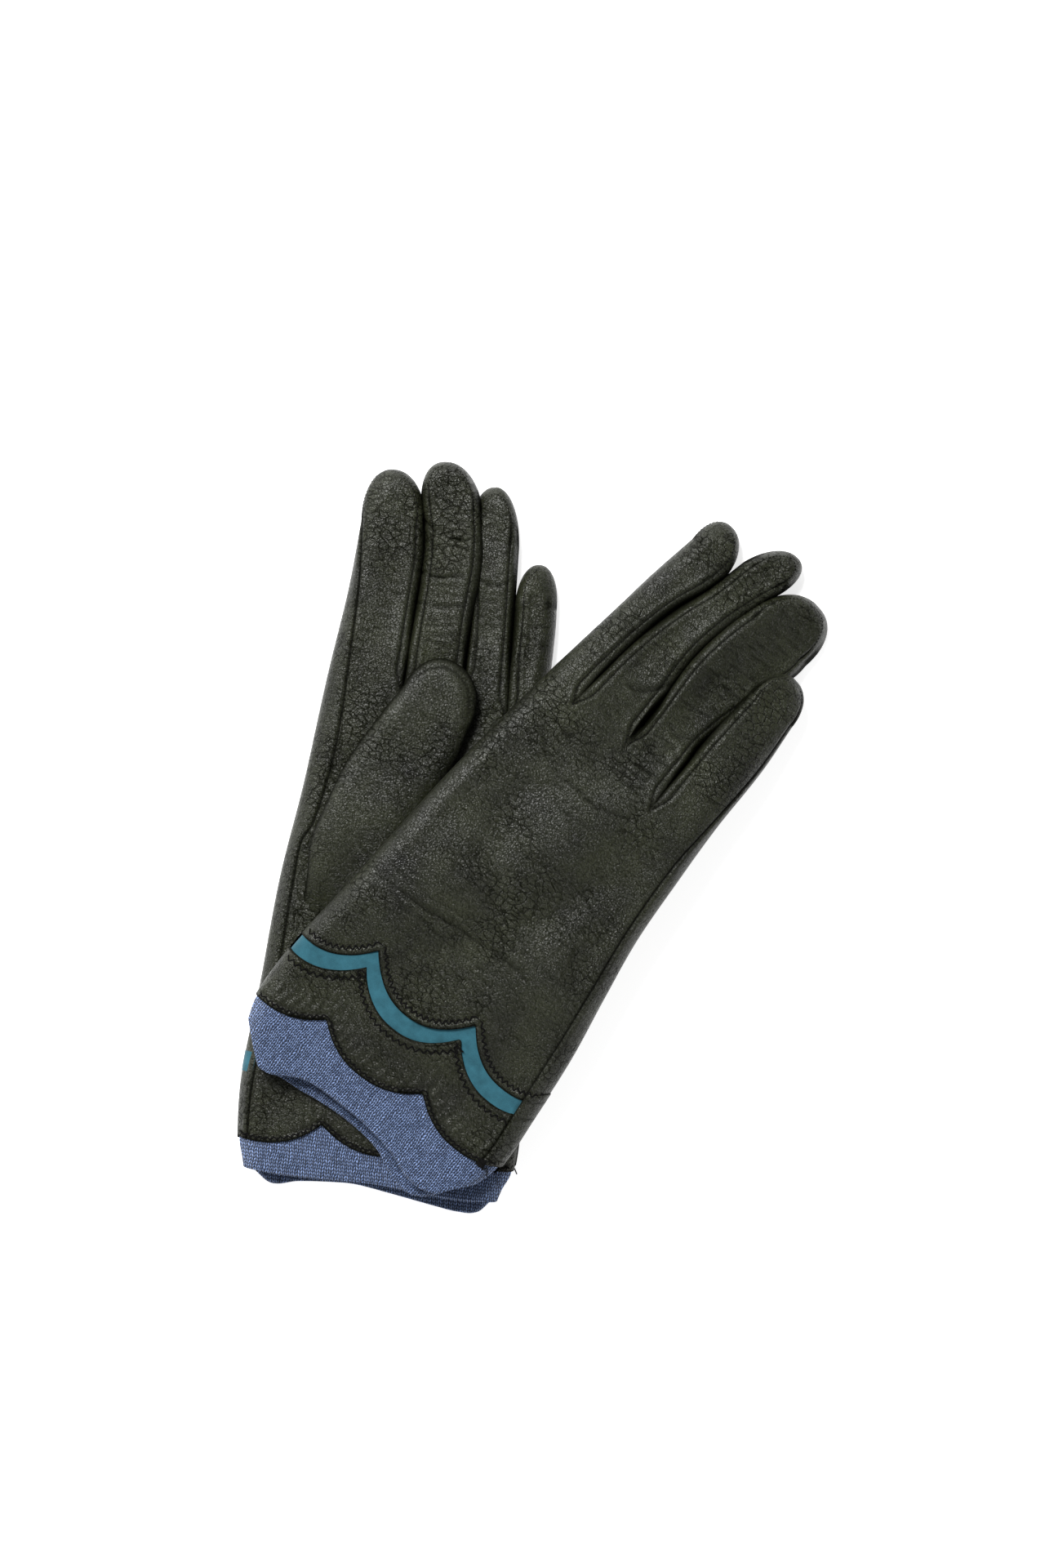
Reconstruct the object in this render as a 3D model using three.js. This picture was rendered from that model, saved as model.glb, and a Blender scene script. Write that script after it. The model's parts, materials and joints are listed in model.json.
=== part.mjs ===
// A pair of lined leather dress gloves laid crosswise: the left one palm up underneath, the right one
// palm down on top of it. Millimetres, +Z up, origin in the middle of the footprint on the table.
//
// Each glove is drawn in its own flat frame: x across the hand from the index side to the little-finger
// side, y from the cuff to the fingertips. The leather, the knitted lining and the knitted cuff are thin
// shells taken at a depth under one outer surface, cut apart along the seams.
import * as THREE from "three";

// Driving dimensions.
const LEATHER = 0.8; // thickness of every leather panel
const LINING = 0.7; // thickness of the knitted lining
const LINING_DEPTH = 1.2; // from the leather's face to the lining's
const KNIT = 1.8; // thickness of the doubled knitted cuff
const SEAM = 0.4; // width of the gap that stands for a seam
const FINGER_GAP = 0.9; // between neighbouring fingers
const FOURCHETTE = 3; // how far a finger's side strip reaches over its top and under its bottom
const LOWER = 4; // from the middle plane down to the underside
const UPPER = 5.6; // from the middle plane up to the top
const EDGE_ROUND = 7; // width over which an outer edge rounds off
const SLIT_ROUND = 6; // the same beside a gap between fingers
const BASE_ROUND = 4.5; // the same on the underside, which lies flatter
const CAP_POWER = 2.2; // roundness of a fingertip's outline
const THUMB_HEIGHT = 6.2; // thickness of a thumb
const THUMB_ROOT = 0.32; // how much of that is left at the root, where it is sewn to the palm
const THUMB_RISE = 40; // length over which it reaches full thickness
const THUMB_CLEARANCE = 0.4; // between a thumb and the palm it lies on

// Each outline is a list of [y, x]. A glove has five: its index-side edge, the three lines between its
// fingers and its little-finger-side edge. Its bed is a list of [y, z]: the height of what it lies on. The
// lower glove lies on the table; the upper one rises over the thumbs and comes down to the table past them.
const LEFT = {
  name: "left",
  palmUp: true,
  origin: [-50.14, -101.81],
  turn: 7.2,
  rails: [
    [[-14, -41], [-6, -43], [0, -44.7], [20, -46], [50, -43.8], [85, -41.7], [115, -38], [150, -34.8], [180, -31.4], [208, -29.8]],
    [[-14, -20], [20, -21], [100, -14], [150, -10], [170, -9.4], [190, -8.7], [200, -9.4], [208, -11.4]],
    [[-14, -1], [20, 0], [100, 7], [150, 9], [171, 8.8], [192, 9.9], [200, 9.4], [208, 8.2]],
    [[-14, 18], [20, 19], [100, 23], [140, 24.4], [160, 23.2], [180, 22.2], [200, 21]],
    [[-14, 40], [-6, 42], [0, 44.4], [15, 44.8], [50, 43.4], [85, 40.4], [115, 38], [150, 36.5], [176, 36], [186, 35]],
  ],
  bed: [[0, 0], [200, 0]],
  webs: [150, 152, 144],
  fingers: [
    { name: "index", hinge: 161, lean: 2, capFrom: 201, tip: [-21, 219] },
    { name: "middle", hinge: 164, lean: 2, capFrom: 208, tip: [-4.5, 223.5] },
    { name: "ring", hinge: 163, lean: 0, capFrom: 197, tip: [12.5, 217] },
    { name: "little", hinge: 168, lean: -3, capFrom: 180, tip: [28.4, 194.5] },
  ],
};
const RIGHT = {
  name: "right",
  palmUp: false,
  origin: [-51.24, -78.31],
  turn: 37.5,
  rails: [
    [[-15, -41.5], [-6, -45], [0, -46.8], [20, -47.3], [48, -44.7], [94, -41], [138, -35.3], [170, -30.2], [184, -28], [201, -24.6]],
    [[-15, -22], [20, -23.5], [100, -24], [133, -22.9], [153, -20.8], [167, -18.4], [180, -14.9], [191, -10.6], [202, -7.7]],
    [[-15, -3], [20, -3.5], [100, -3], [134, -1.7], [150, -1.1], [170, -1.3], [186, 1.6], [199, 6.2], [206, 9.6]],
    [[-15, 16], [20, 15.5], [100, 17], [132, 17], [150, 17.7], [167, 19.1], [178, 20.5], [186, 24.5], [190, 28.6], [196, 29]],
    [[-15, 43], [-6, 46], [4, 48.6], [24, 47.4], [46, 45.3], [67, 41.9], [88, 38.9], [110, 37.8], [131, 37.3], [155, 38], [174, 37]],
  ],
  bed: [
    [-16, 10.2], [10, 10.5], [25, 12.5], [45, 15.2], [62, 16.6], [80, 17], [100, 17],
    [118, 16.1], [140, 12.5], [165, 7.5], [190, 2.9], [205, 0.8], [218, 0],
  ],
  webs: [149, 150, 142],
  fingers: [
    { name: "index", hinge: 159, lean: 10, capFrom: 199, tip: [-16.6, 211.3] },
    { name: "middle", hinge: 161, lean: 5, capFrom: 204, tip: [5.4, 216.4] },
    { name: "ring", hinge: 160, lean: 3, capFrom: 191, tip: [19.6, 208.2] },
    { name: "little", hinge: 151, lean: 3, capFrom: 172, tip: [28.8, 184.6] },
  ],
};

// A thumb has a frame of its own in its glove's, turned towards the little finger, and two edges. It lies
// along the palm. Only the left one's tip is free to move: the gloves hold the rest.
LEFT.thumb = {
  origin: [-20.5, 104],
  turn: 30,
  rails: [
    [[-38, 6], [-22, -1.5], [-12, -7.6], [1, -11], [16, -13.9], [35, -14.3], [46, -14]],
    [[-38, 20], [-10, 17], [20, 15], [37, 13.8], [46, 11.4]],
  ],
  finger: { name: "thumb", root: -34, hinge: 47, lean: 0, capFrom: 46, tip: [-3.4, 61.6] },
};
RIGHT.thumb = {
  origin: [-9, 100],
  turn: 8,
  rails: [
    [[-34, -8], [-10, -11], [15, -12.4], [42, -11.5]],
    [[-34, 12], [-10, 12.4], [15, 12.4], [42, 11]],
  ],
  finger: { name: "thumb", root: -33, lean: 0, capFrom: 42, tip: [0, 57] },
};

// Seams of the hand: one runs along the palm beside the index edge, the other along the back beside the
// little-finger edge.
const INDEX_SEAM = 7.5;
const LITTLE_SEAM = 5.5;

// The scalloped lines of the cuff, as heights above the cuff line: [at the trough, at the cusp].
const HEM = [0.8, 8.4];
const BAND_LOW = [18.6, 29];
const BAND_HIGH = [25, 36];
const CUSP_SPACING = 38.5;
const BACK_CUSP = -24; // x of a cusp on the back
const PALM_CUSP = -18; // and on the palm
const SCALLOP_POWER = 2.3; // the higher, the sharper the cusps
const KNIT_END = { up: -10.5, down: -14.5 }; // the knitted cuff's lower layer stands out further

// Smooth interpolation of [y, x] points, with the end slopes carried on.
function along(points, y) {
  const last = points.length - 1;
  let i = 0;
  while (i < last - 1 && points[i + 1][0] <= y) i++;
  const slope = (j) => {
    const a = points[Math.max(0, j - 1)];
    const b = points[Math.min(last, j + 1)];
    return (b[1] - a[1]) / (b[0] - a[0]);
  };
  const [p, q] = [points[i], points[i + 1]];
  const step = q[0] - p[0];
  const t = (y - p[0]) / step;
  if (t < 0) return p[1] + (y - p[0]) * slope(0);
  if (t > 1) return q[1] + (y - q[0]) * slope(last);
  const t2 = t * t;
  const t3 = t2 * t;
  return (
    (2 * t3 - 3 * t2 + 1) * p[1] + (t3 - 2 * t2 + t) * step * slope(i) +
    (3 * t2 - 2 * t3) * q[1] + (t3 - t2) * step * slope(i + 1)
  );
}

const mix = (a, b, t) => a + (b - a) * t;
const ease = (t) => {
  const s = Math.max(0, Math.min(1, t));
  return s * s * (3 - 2 * s);
};
const rounded = (distance, radius) => {
  const s = 1 - Math.min(1, Math.max(0, distance) / radius);
  return Math.sqrt(1 - s * s);
};
const radians = THREE.MathUtils.degToRad;

// A scalloped line: low in the middle of each scallop, rising to a cusp between two.
function scallop([trough, cusp], x, cuspAt) {
  const turns = (x - cuspAt) / CUSP_SPACING;
  const fromMiddle = Math.abs(2 * (turns - Math.floor(turns)) - 1);
  return trough + (cusp - trough) * fromMiddle ** SCALLOP_POWER;
}

// A point of a frame turned clockwise, in the frame that holds it.
function turned({ origin, turn }, x, y) {
  const a = radians(turn);
  return [
    origin[0] + x * Math.cos(a) + y * Math.sin(a),
    origin[1] - x * Math.sin(a) + y * Math.cos(a),
  ];
}

// A face of a glove is given by its distance from the outline: full height inside, rounding off at it.
function heightAt(distance, up, radius) {
  return up ? UPPER * rounded(distance, radius) : -LOWER * rounded(distance, BASE_ROUND);
}

function handPoint(glove, x, y, up) {
  const edge = Math.min(x - along(glove.rails[0], y), along(glove.rails[4], y) - x);
  const slits = glove.webs.map((web, i) => {
    const rail = glove.rails[i + 1];
    return y > web
      ? Math.abs(x - along(rail, y)) - FINGER_GAP / 2
      : Math.hypot(x - along(rail, web), web - y);
  });
  const slit = Math.min(...slits);
  const height = edge < slit ? heightAt(edge, up, EDGE_ROUND) : heightAt(slit, up, SLIT_ROUND);
  return new THREE.Vector3(...turned(glove, x, y), along(glove.bed, y) + LOWER + height);
}

// A finger's two sides at height y, with half of the gap to each neighbour taken off.
function fingerSides(glove, i, y) {
  return [
    along(glove.rails[i], y) + (i > 0 ? FINGER_GAP / 2 : 0),
    along(glove.rails[i + 1], y) - (i < 3 ? FINGER_GAP / 2 : 0),
  ];
}

// A digit is a tube that closes in a rounded tip: sides(y) are its two edges and place(x, y, distance, up)
// puts a point of its skin, at that distance from its outline, where it belongs.
function fingerDigit(glove, i) {
  return {
    ...glove.fingers[i],
    sides: (y) => fingerSides(glove, i, y),
    place: (x, y, distance, up) => new THREE.Vector3(
      ...turned(glove, x, y),
      along(glove.bed, y) + LOWER + heightAt(distance, up, SLIT_ROUND),
    ),
  };
}

function thumbDigit(glove) {
  const { thumb } = glove;
  const onPalm = LOWER + UPPER + THUMB_CLEARANCE;
  return {
    ...thumb.finger,
    sides: (y) => thumb.rails.map((rail) => along(rail, y)),
    place: (x, y, distance, up) => {
      const [gx, gy] = turned(thumb, x, y);
      const floor = glove.palmUp ? onPalm : along(glove.bed, gy) - THUMB_HEIGHT - THUMB_CLEARANCE;
      const height = THUMB_HEIGHT * mix(THUMB_ROOT, 1, ease((y - thumb.finger.root) / THUMB_RISE));
      const middle = floor + height / 2;
      const swell = (height / 2) * rounded(distance, SLIT_ROUND);
      return new THREE.Vector3(...turned(glove, gx, gy), up ? middle + swell : middle - swell);
    },
  };
}

// One row across a digit at station v: its middle, half width, and how far into the tip it lies.
function digitRow(digit, v) {
  const into = Math.max(0, (v - digit.capFrom) / (digit.tip[1] - digit.capFrom));
  const station = Math.min(v, digit.capFrom);
  const slope = Math.tan(radians(digit.lean));
  const [l, r] = digit.sides(station);
  const reach = ((r - l) / 2) * slope;
  const left = digit.sides(station + reach)[0];
  const right = digit.sides(station - reach)[1];
  const full = (right - left) / 2;
  return {
    into,
    slope,
    full,
    middle: mix((left + right) / 2, digit.tip[0], into),
    half: full * (1 - into ** CAP_POWER) ** (1 / CAP_POWER),
  };
}

// A point of a digit's skin, across from its left side.
function digitPoint(digit, v, across, up) {
  const row = digitRow(digit, v);
  const off = across - row.half;
  const norm = (Math.abs(off / row.full) ** CAP_POWER + row.into ** CAP_POWER) ** (1 / CAP_POWER);
  return digit.place(row.middle + off, v - off * row.slope, (1 - norm) * row.full, up);
}

// Outward normal of a surface at(u, v), from small steps towards its inside. The normal of a point on the
// surface's rim lies level.
function outward(at, u, v, inwards, up, rim) {
  const step = 0.05;
  const p = at(u, v);
  const n = at(u + step * inwards, v).sub(p).cross(at(u, v - step).sub(p)).normalize();
  if (n.z > 0 !== up) n.negate();
  if (rim) n.setZ(0).normalize();
  return n;
}

// A sheet of quads with shared corners, which thicken() turns into a closed solid.
class Sheet {
  constructor() {
    this.corners = [];
    this.quads = [];
    this.byKey = new Map();
  }
  corner(key, make) {
    if (!this.byKey.has(key)) {
      this.byKey.set(key, this.corners.length);
      this.corners.push(make());
    }
    return this.byKey.get(key);
  }
  // Rows and columns of corners; cornerOf gives a corner's key and a function that makes it.
  grid(rows, columns, cornerOf) {
    const id = (r, c) => this.corner(...cornerOf(r, c));
    for (let r = 0; r < rows - 1; r++) {
      for (let c = 0; c < columns - 1; c++) {
        const quad = [id(r, c), id(r, c + 1), id(r + 1, c + 1), id(r + 1, c)];
        if (quad[0] !== quad[1]) this.quads.push(quad);
      }
    }
    return this;
  }
  // A solid between two depths under the sheet.
  thicken(from, to) {
    const at = (depth) => this.corners.map(({ point, normal }) => point.clone().addScaledVector(normal, -depth));
    const count = this.corners.length;
    const index = [];
    const face = (a, b, c, d) => index.push(a, b, c, a, c, d);
    const edges = new Set(this.quads.flatMap((q) => q.map((k, n) => `${k},${q[(n + 1) % 4]}`)));
    for (const [a, b, c, d] of this.quads) {
      face(a, b, c, d);
      face(count + a, count + d, count + c, count + b);
    }
    for (const edge of edges) {
      const [a, b] = edge.split(",").map(Number);
      if (!edges.has(`${b},${a}`)) face(b, a, count + a, count + b);
    }
    const geometry = new THREE.BufferGeometry().setFromPoints([...at(from), ...at(to)]);
    geometry.setIndex(index);
    geometry.computeVertexNormals();
    return geometry;
  }
}

// Columns across a lane of the hand, or across a finger, as distances from its left side. A seam is a pair
// of columns a seam's width apart. Offsets shrink with the width in a fingertip.
const pair = (at) => [at - SEAM / 2, at + SEAM / 2];
const within = (offset, width) => Math.min(offset, 0.3 * width);

function handColumns(lane, width, seam) {
  if (lane === 0) return [0, 1.5, ...(seam ? pair(INDEX_SEAM) : [INDEX_SEAM]), 0.68 * width, width];
  if (lane === 3) {
    const at = width - LITTLE_SEAM;
    return [0, 0.3 * width, ...(seam ? pair(at) : [at]), width - 1.5, width];
  }
  return [0, 0.28 * width, 0.72 * width, width];
}

function fingerColumns(i, width, seam) {
  const side = within(FOURCHETTE, width);
  const index = within(INDEX_SEAM - 2, width);
  const little = width - within(LITTLE_SEAM - 1, width);
  const left = i > 0 ? pair(side) : seam ? pair(index) : [within(2, width)];
  const right = i < 3 ? pair(width - side) : seam ? pair(little) : [width - within(2, width)];
  return [0, ...left, width / 2, ...right, width];
}

// Of the hand's two seams, the one by the index finger is on the palm and the other on the back.
function hasSeam(glove, lane, up) {
  if (lane === 0) return up === glove.palmUp;
  return lane === 3 && up !== glove.palmUp;
}

// The ring of columns round the hand: over the top from left to right, then back underneath.
function handRing(glove) {
  const ring = [];
  for (const up of [true, false]) {
    for (const lane of up ? [0, 1, 2, 3] : [3, 2, 1, 0]) {
      const seam = hasSeam(glove, lane, up);
      const count = handColumns(lane, 20, seam).length;
      const columns = [...Array(count).keys()];
      if (!up) columns.reverse();
      if (lane !== (up ? 0 : 3)) columns.shift();
      ring.push(...columns.map((column) => ({ up, lane, column, count, seam })));
    }
  }
  return ring;
}

// The columns of a ring from one position to another.
function ringSpan(ring, from, to) {
  const picked = [ring[from]];
  for (let k = from; k !== to;) {
    k = (k + 1) % ring.length;
    picked.push(ring[k]);
  }
  return picked;
}

// Where a column of the hand's ring crosses height y. Past a crotch a lane is as wide as its finger.
function handColumnX(glove, { lane, column, seam }, y, pastCrotch = false) {
  const [l, r] = pastCrotch
    ? fingerSides(glove, lane, y)
    : [along(glove.rails[lane], y), along(glove.rails[lane + 1], y)];
  return l + handColumns(lane, r - l, seam)[column];
}

const isEdge = ({ lane, column, count }) => (lane === 0 && column === 0) || (lane === 3 && column === count - 1);
const handKey = (r, c) => (isEdge(c) ? `${r}:edge:${c.lane}` : `${r}:${c.up}:${c.lane}:${c.column}`);

// Height at which a column meets a line across the hand. Both faces share the columns at the edges.
function lineAt(glove, column, line) {
  const x = handColumnX(glove, column, 10);
  return isEdge(column) ? (line(x, true) + line(x, false)) / 2 : line(x, column.up);
}

function handCorner(glove, ringColumn, y, { bank = false, crotch = false, pastCrotch = false } = {}) {
  const { up, lane, column, count } = ringColumn;
  const x = handColumnX(glove, ringColumn, y, pastCrotch);
  const point = handPoint(glove, x, y, up);
  const rim = bank || isEdge(ringColumn);
  // Beside a finger gap the two faces end a seam's width apart instead of meeting.
  if (bank) point.z = along(glove.bed, y) + LOWER + (up ? SEAM / 2 : -SEAM / 2);
  if (crotch) return { point, normal: new THREE.Vector3(...turned({ origin: [0, 0], turn: glove.turn }, 0, 1), 0) };
  const inwards = column < count / 2 ? 1 : -1;
  const normal = outward((u, v) => handPoint(glove, u, v, up), x, y, inwards, up, rim);
  return { point, normal };
}

// Rows of the hand between its lower line and the line through the crotches, and the shares of the way from
// there to each finger's hinge at which the stubs of the fingers have theirs.
const HAND_LEVELS = [12, 24, 45, 70, 95, 115, 133];
const STUB_STEPS = [0.5, 1];

// One of the hand's two big panels, from one ring position to another. Past the crotches each lane has its
// own copy of a column that it shares with its neighbour.
function handPanel(glove, ring, from, to, lowerLine, levels) {
  const sheet = new Sheet();
  const picked = ringSpan(ring, from, to);
  const webs = [glove.webs[0], ...glove.webs, glove.webs[2]];
  const last = levels.length + 1;
  const cornerOf = (r, c) => {
    const { up, lane, column, count } = c;
    const inner = !isEdge(c) && (column === 0 || column === count - 1);
    const shared = inner && column > 0 && r <= last ? { ...c, lane: lane + 1, column: 0, count: 9 } : c;
    const key = handKey(r, shared);
    const crotchY = mix(webs[lane], webs[lane + 1], column / (count - 1));
    if (r <= last) {
      const y = r === 0 ? lineAt(glove, c, lowerLine) : r === last ? crotchY : levels[r - 1];
      const crotch = inner && r === last;
      return [key, () => handCorner(glove, c, y, { bank: crotch, crotch })];
    }
    const finger = glove.fingers[lane];
    const [l, right] = fingerSides(glove, lane, finger.hinge);
    const across = handColumnX(glove, c, finger.hinge, true) - (l + right) / 2;
    const end = finger.hinge - across * Math.tan(radians(finger.lean)) - SEAM / 2;
    const y = mix(crotchY, end, STUB_STEPS[r - last - 1]);
    return [key, () => handCorner(glove, c, y, { bank: inner, pastCrotch: true })];
  };
  for (let n = 0; n < picked.length - 1; n++) {
    const [a, b] = [picked[n], picked[n + 1]];
    // A step into a new lane starts from that lane's own copy of the shared column.
    const start = a.lane === b.lane ? a : { ...b, column: b.up ? 0 : b.count - 1 };
    sheet.grid(last + 1 + STUB_STEPS.length, 2, (r, c) => cornerOf(r, [start, b][c]));
  }
  return sheet;
}

// A strip of the hand between two lines across it.
function handStrip(glove, columns, lowLine, highLine, steps) {
  return new Sheet().grid(steps + 1, columns.length, (r, c) => {
    const column = columns[c];
    const y = mix(lineAt(glove, column, lowLine), lineAt(glove, column, highLine), r / steps);
    return [handKey(r, column), () => handCorner(glove, column, y)];
  });
}

// A strip of a digit's skin over the given columns, each { up, at(width) }.
function digitStrip(digit, columns, stations) {
  return new Sheet().grid(stations.length, columns.length, (r, c) => {
    const v = stations[r];
    const { up, at, side } = columns[c];
    const width = 2 * digitRow(digit, v).half;
    const across = at(width);
    const rim = side || v > digit.tip[1] - 1;
    const inwards = across < width / 2 ? 1 : -1;
    const surface = (u, w) => digitPoint(digit, w, u, up);
    return [
      `${r}:${side ? "side" : up}:${side ? across > width / 2 : columns[c].key}`,
      () => ({ point: surface(across, v), normal: outward(surface, across, v, inwards, up, rim) }),
    ];
  });
}

// Stations along a digit from one end to just short of the very tip.
function stationsOf(digit, from, body, cap) {
  const length = digit.tip[1] - digit.capFrom;
  return [
    ...body.map((share) => mix(from, digit.capFrom, share)),
    ...cap.map((share) => digit.capFrom + share * length),
  ];
}

// Materials.
const leather = () => new THREE.MeshStandardMaterial({ color: 0x34372d, roughness: 0.5, metalness: 0 });
const suede = () => new THREE.MeshStandardMaterial({ color: 0x1f6478, roughness: 0.95, metalness: 0 });
const knit = () => new THREE.MeshStandardMaterial({ color: 0x5a6c9e, roughness: 0.95, metalness: 0 });

function solid(name, sheet, from, to, material) {
  const mesh = new THREE.Mesh(sheet.thicken(from, to), material);
  mesh.name = name;
  return mesh;
}

// The ring of columns round a finger: over the top from left to right, then back underneath. The two sides
// belong to both faces.
function fingerRing(glove, i) {
  const face = (up) => {
    const seam = (i === 0 || i === 3) && hasSeam(glove, i, up);
    const count = fingerColumns(i, 20, seam).length;
    return [...Array(count).keys()].map((column) => ({
      up,
      key: column,
      side: column === 0 || column === count - 1,
      at: (width) => fingerColumns(i, width, seam)[column],
    }));
  };
  return [...face(true), ...face(false).reverse().slice(1, -1)];
}

// Leather, side strips and lining of one finger. A seam is where two ring positions are a seam apart.
function makeFinger(glove, i) {
  const digit = fingerDigit(glove, i);
  const ring = fingerRing(glove, i);
  const group = new THREE.Group();
  group.name = `${glove.name}_${digit.name}`;
  const stations = stationsOf(digit, digit.hinge + SEAM / 2, [0, 0.25, 0.5, 0.75, 1], [0.5, 0.84, 0.995]);
  const at = (up, column) => ring.findIndex((c) => c.up === up && c.key === column);
  const add = (piece, from, to) => {
    const strip = digitStrip(digit, ringSpan(ring, from, to), stations);
    group.add(solid(`${group.name}_${piece}`, strip, 0, LEATHER, leather()));
  };
  const last = (up) => ring.filter((c) => c.up === up).length - (up ? 1 : -1);
  // Ring positions either side of the seams that bound the upper and the lower strip.
  const leftTwoSeams = i > 0;
  const rightTwoSeams = i < 3;
  const leftUp = leftTwoSeams || glove.palmUp;
  const rightUp = rightTwoSeams || !glove.palmUp;
  const upper = [leftUp ? at(true, 2) : at(false, 1), rightUp ? at(true, last(true) - 2) : at(false, last(false) - 1)];
  const lower = [
    rightTwoSeams || !rightUp ? at(false, last(false) - 2) : at(true, last(true) - 1),
    leftTwoSeams || !leftUp ? at(false, 2) : at(true, 1),
  ];
  const [backSpan, palmSpan] = glove.palmUp ? [lower, upper] : [upper, lower];
  add("back_strip", ...backSpan);
  add("palm_strip", ...palmSpan);
  if (leftTwoSeams) add("left_fourchette", at(false, 1), at(true, 1));
  if (rightTwoSeams) add("right_fourchette", at(true, last(true) - 1), at(false, last(false) - 1));
  const lining = digitStrip(digit, [...ring, ring[0]], stations.slice(0, -1));
  group.add(solid(`${group.name}_lining`, lining, LINING_DEPTH, LINING_DEPTH + LINING, knit()));
  return group;
}

// Columns of a plain tube, over the top and back underneath to where they began.
function tubeColumns(shares) {
  const column = (share, up) => ({ up, key: share, side: share === 0 || share === 1, at: (width) => share * width });
  const top = shares.map((share) => column(share, true));
  const bottom = shares.slice(1, -1).reverse().map((share) => column(share, false));
  return [...top, ...bottom, top[0]];
}

// Lines that end the hand's panels: on the back the leather stops at the suede band, on the palm it runs
// down to the hem.
const isBack = (glove, up) => up !== glove.palmUp;

function makeHand(glove) {
  const ring = handRing(glove);
  const group = new THREE.Group();
  group.name = `${glove.name}_hand`;
  const at = (up, lane, column) => ring.findIndex((c) => c.up === up && c.lane === lane && c.column === column);
  const upper = glove.palmUp ? [at(true, 0, 3), at(false, 3, 3)] : [at(false, 0, 2), at(true, 3, 2)];
  const lower = glove.palmUp ? [at(false, 3, 2), at(true, 0, 2)] : [at(true, 3, 3), at(false, 0, 3)];
  const [back, palm] = glove.palmUp ? [lower, upper] : [upper, lower];
  const hem = (x, up) => scallop(HEM, x, isBack(glove, up) ? BACK_CUSP : PALM_CUSP);
  const bandLow = (x) => scallop(BAND_LOW, x, BACK_CUSP);
  const bandHigh = (x) => scallop(BAND_HIGH, x, BACK_CUSP);
  const above = (line) => (x, up) => line(x, up) + SEAM / 2;
  const below = (line) => (x, up) => line(x, up) - SEAM / 2;
  const add = (piece, sheet, from, to, material) => group.add(solid(`${glove.name}_${piece}`, sheet, from, to, material));
  const backColumns = ringSpan(ring, ...back);
  add("back_panel", handPanel(glove, ring, ...back, above(bandHigh), HAND_LEVELS.slice(2)), 0, LEATHER, leather());
  add("palm_panel", handPanel(glove, ring, ...palm, above(hem), HAND_LEVELS), 0, LEATHER, leather());
  add("suede_band", handStrip(glove, backColumns, above(bandLow), below(bandHigh), 1), 0, LEATHER, suede());
  add("cuff_panel", handStrip(glove, backColumns, above(hem), below(bandLow), 2), 0, LEATHER, leather());
  const knitEnd = (x, up) => (up ? KNIT_END.up : KNIT_END.down);
  add("knit_cuff", handStrip(glove, [...ring, ring[0]], knitEnd, below(hem), 2), 0, KNIT, knit());
  add("hand_lining", handLining(glove, ring), LINING_DEPTH, LINING_DEPTH + LINING, knit());
  return group;
}

// The lining's hand: a flattened tube from the cuff to just below the fingers.
function handLining(glove, ring) {
  const heights = HAND_LEVELS;
  const columns = [...ring, ring[0]];
  return new Sheet().grid(heights.length, columns.length, (r, c) => {
    const column = columns[c];
    return [handKey(r, column), () => handCorner(glove, column, heights[r])];
  });
}

function makeThumb(glove) {
  const digit = thumbDigit(glove);
  const group = new THREE.Group();
  group.name = `${glove.name}_thumb`;
  const columns = tubeColumns([0, 0.12, 0.36, 0.64, 0.88, 1]);
  const add = (name, stations, from, to, material) =>
    group.add(solid(`${glove.name}_${name}`, digitStrip(digit, columns, stations), from, to, material));
  const leatherTube = (name, stations) => add(name, stations, 0, LEATHER, leather());
  const liningTube = (name, stations) => add(name, stations, LINING_DEPTH, LINING_DEPTH + LINING, knit());
  // The lining starts where the root is thick enough to hold it.
  const body = [0, 0.14, 0.28, 0.42, 0.56, 0.7, 0.85, 1].map((share) => mix(digit.root, digit.capFrom, share));
  const cap = stationsOf(digit, 0, [], [0.3, 0.55, 0.84, 0.995]);
  if (!digit.hinge) {
    leatherTube("thumb", [...body, ...cap]);
    liningTube("thumb_lining", [...body.slice(4), ...cap.slice(0, -1)]);
    return group;
  }
  const rooted = body.filter((v) => v < digit.hinge - 8);
  const tip = [digit.hinge + SEAM / 2, ...cap.filter((v) => v > digit.hinge + 3)];
  leatherTube("thumb", [...rooted, digit.hinge - SEAM / 2]);
  leatherTube("thumb_tip", tip);
  liningTube("thumb_lining", [...rooted.slice(4), digit.hinge - SEAM / 2]);
  liningTube("thumb_tip_lining", tip.slice(0, -1));
  return group;
}

const gloves = new THREE.Group();
gloves.name = "gloves";
for (const glove of [LEFT, RIGHT]) {
  gloves.add(makeHand(glove));
  for (let i = 0; i < 4; i++) gloves.add(makeFinger(glove, i));
  gloves.add(makeThumb(glove));
}

export default gloves;
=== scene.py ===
"""A crossed pair of lined leather dress gloves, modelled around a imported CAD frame.

Each glove is drawn in its own flat frame in millimetres: x across the hand from the index side to the
little-finger side, y from the cuff to the fingertips, z up. The points go to the frame's metres last.
"""

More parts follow.
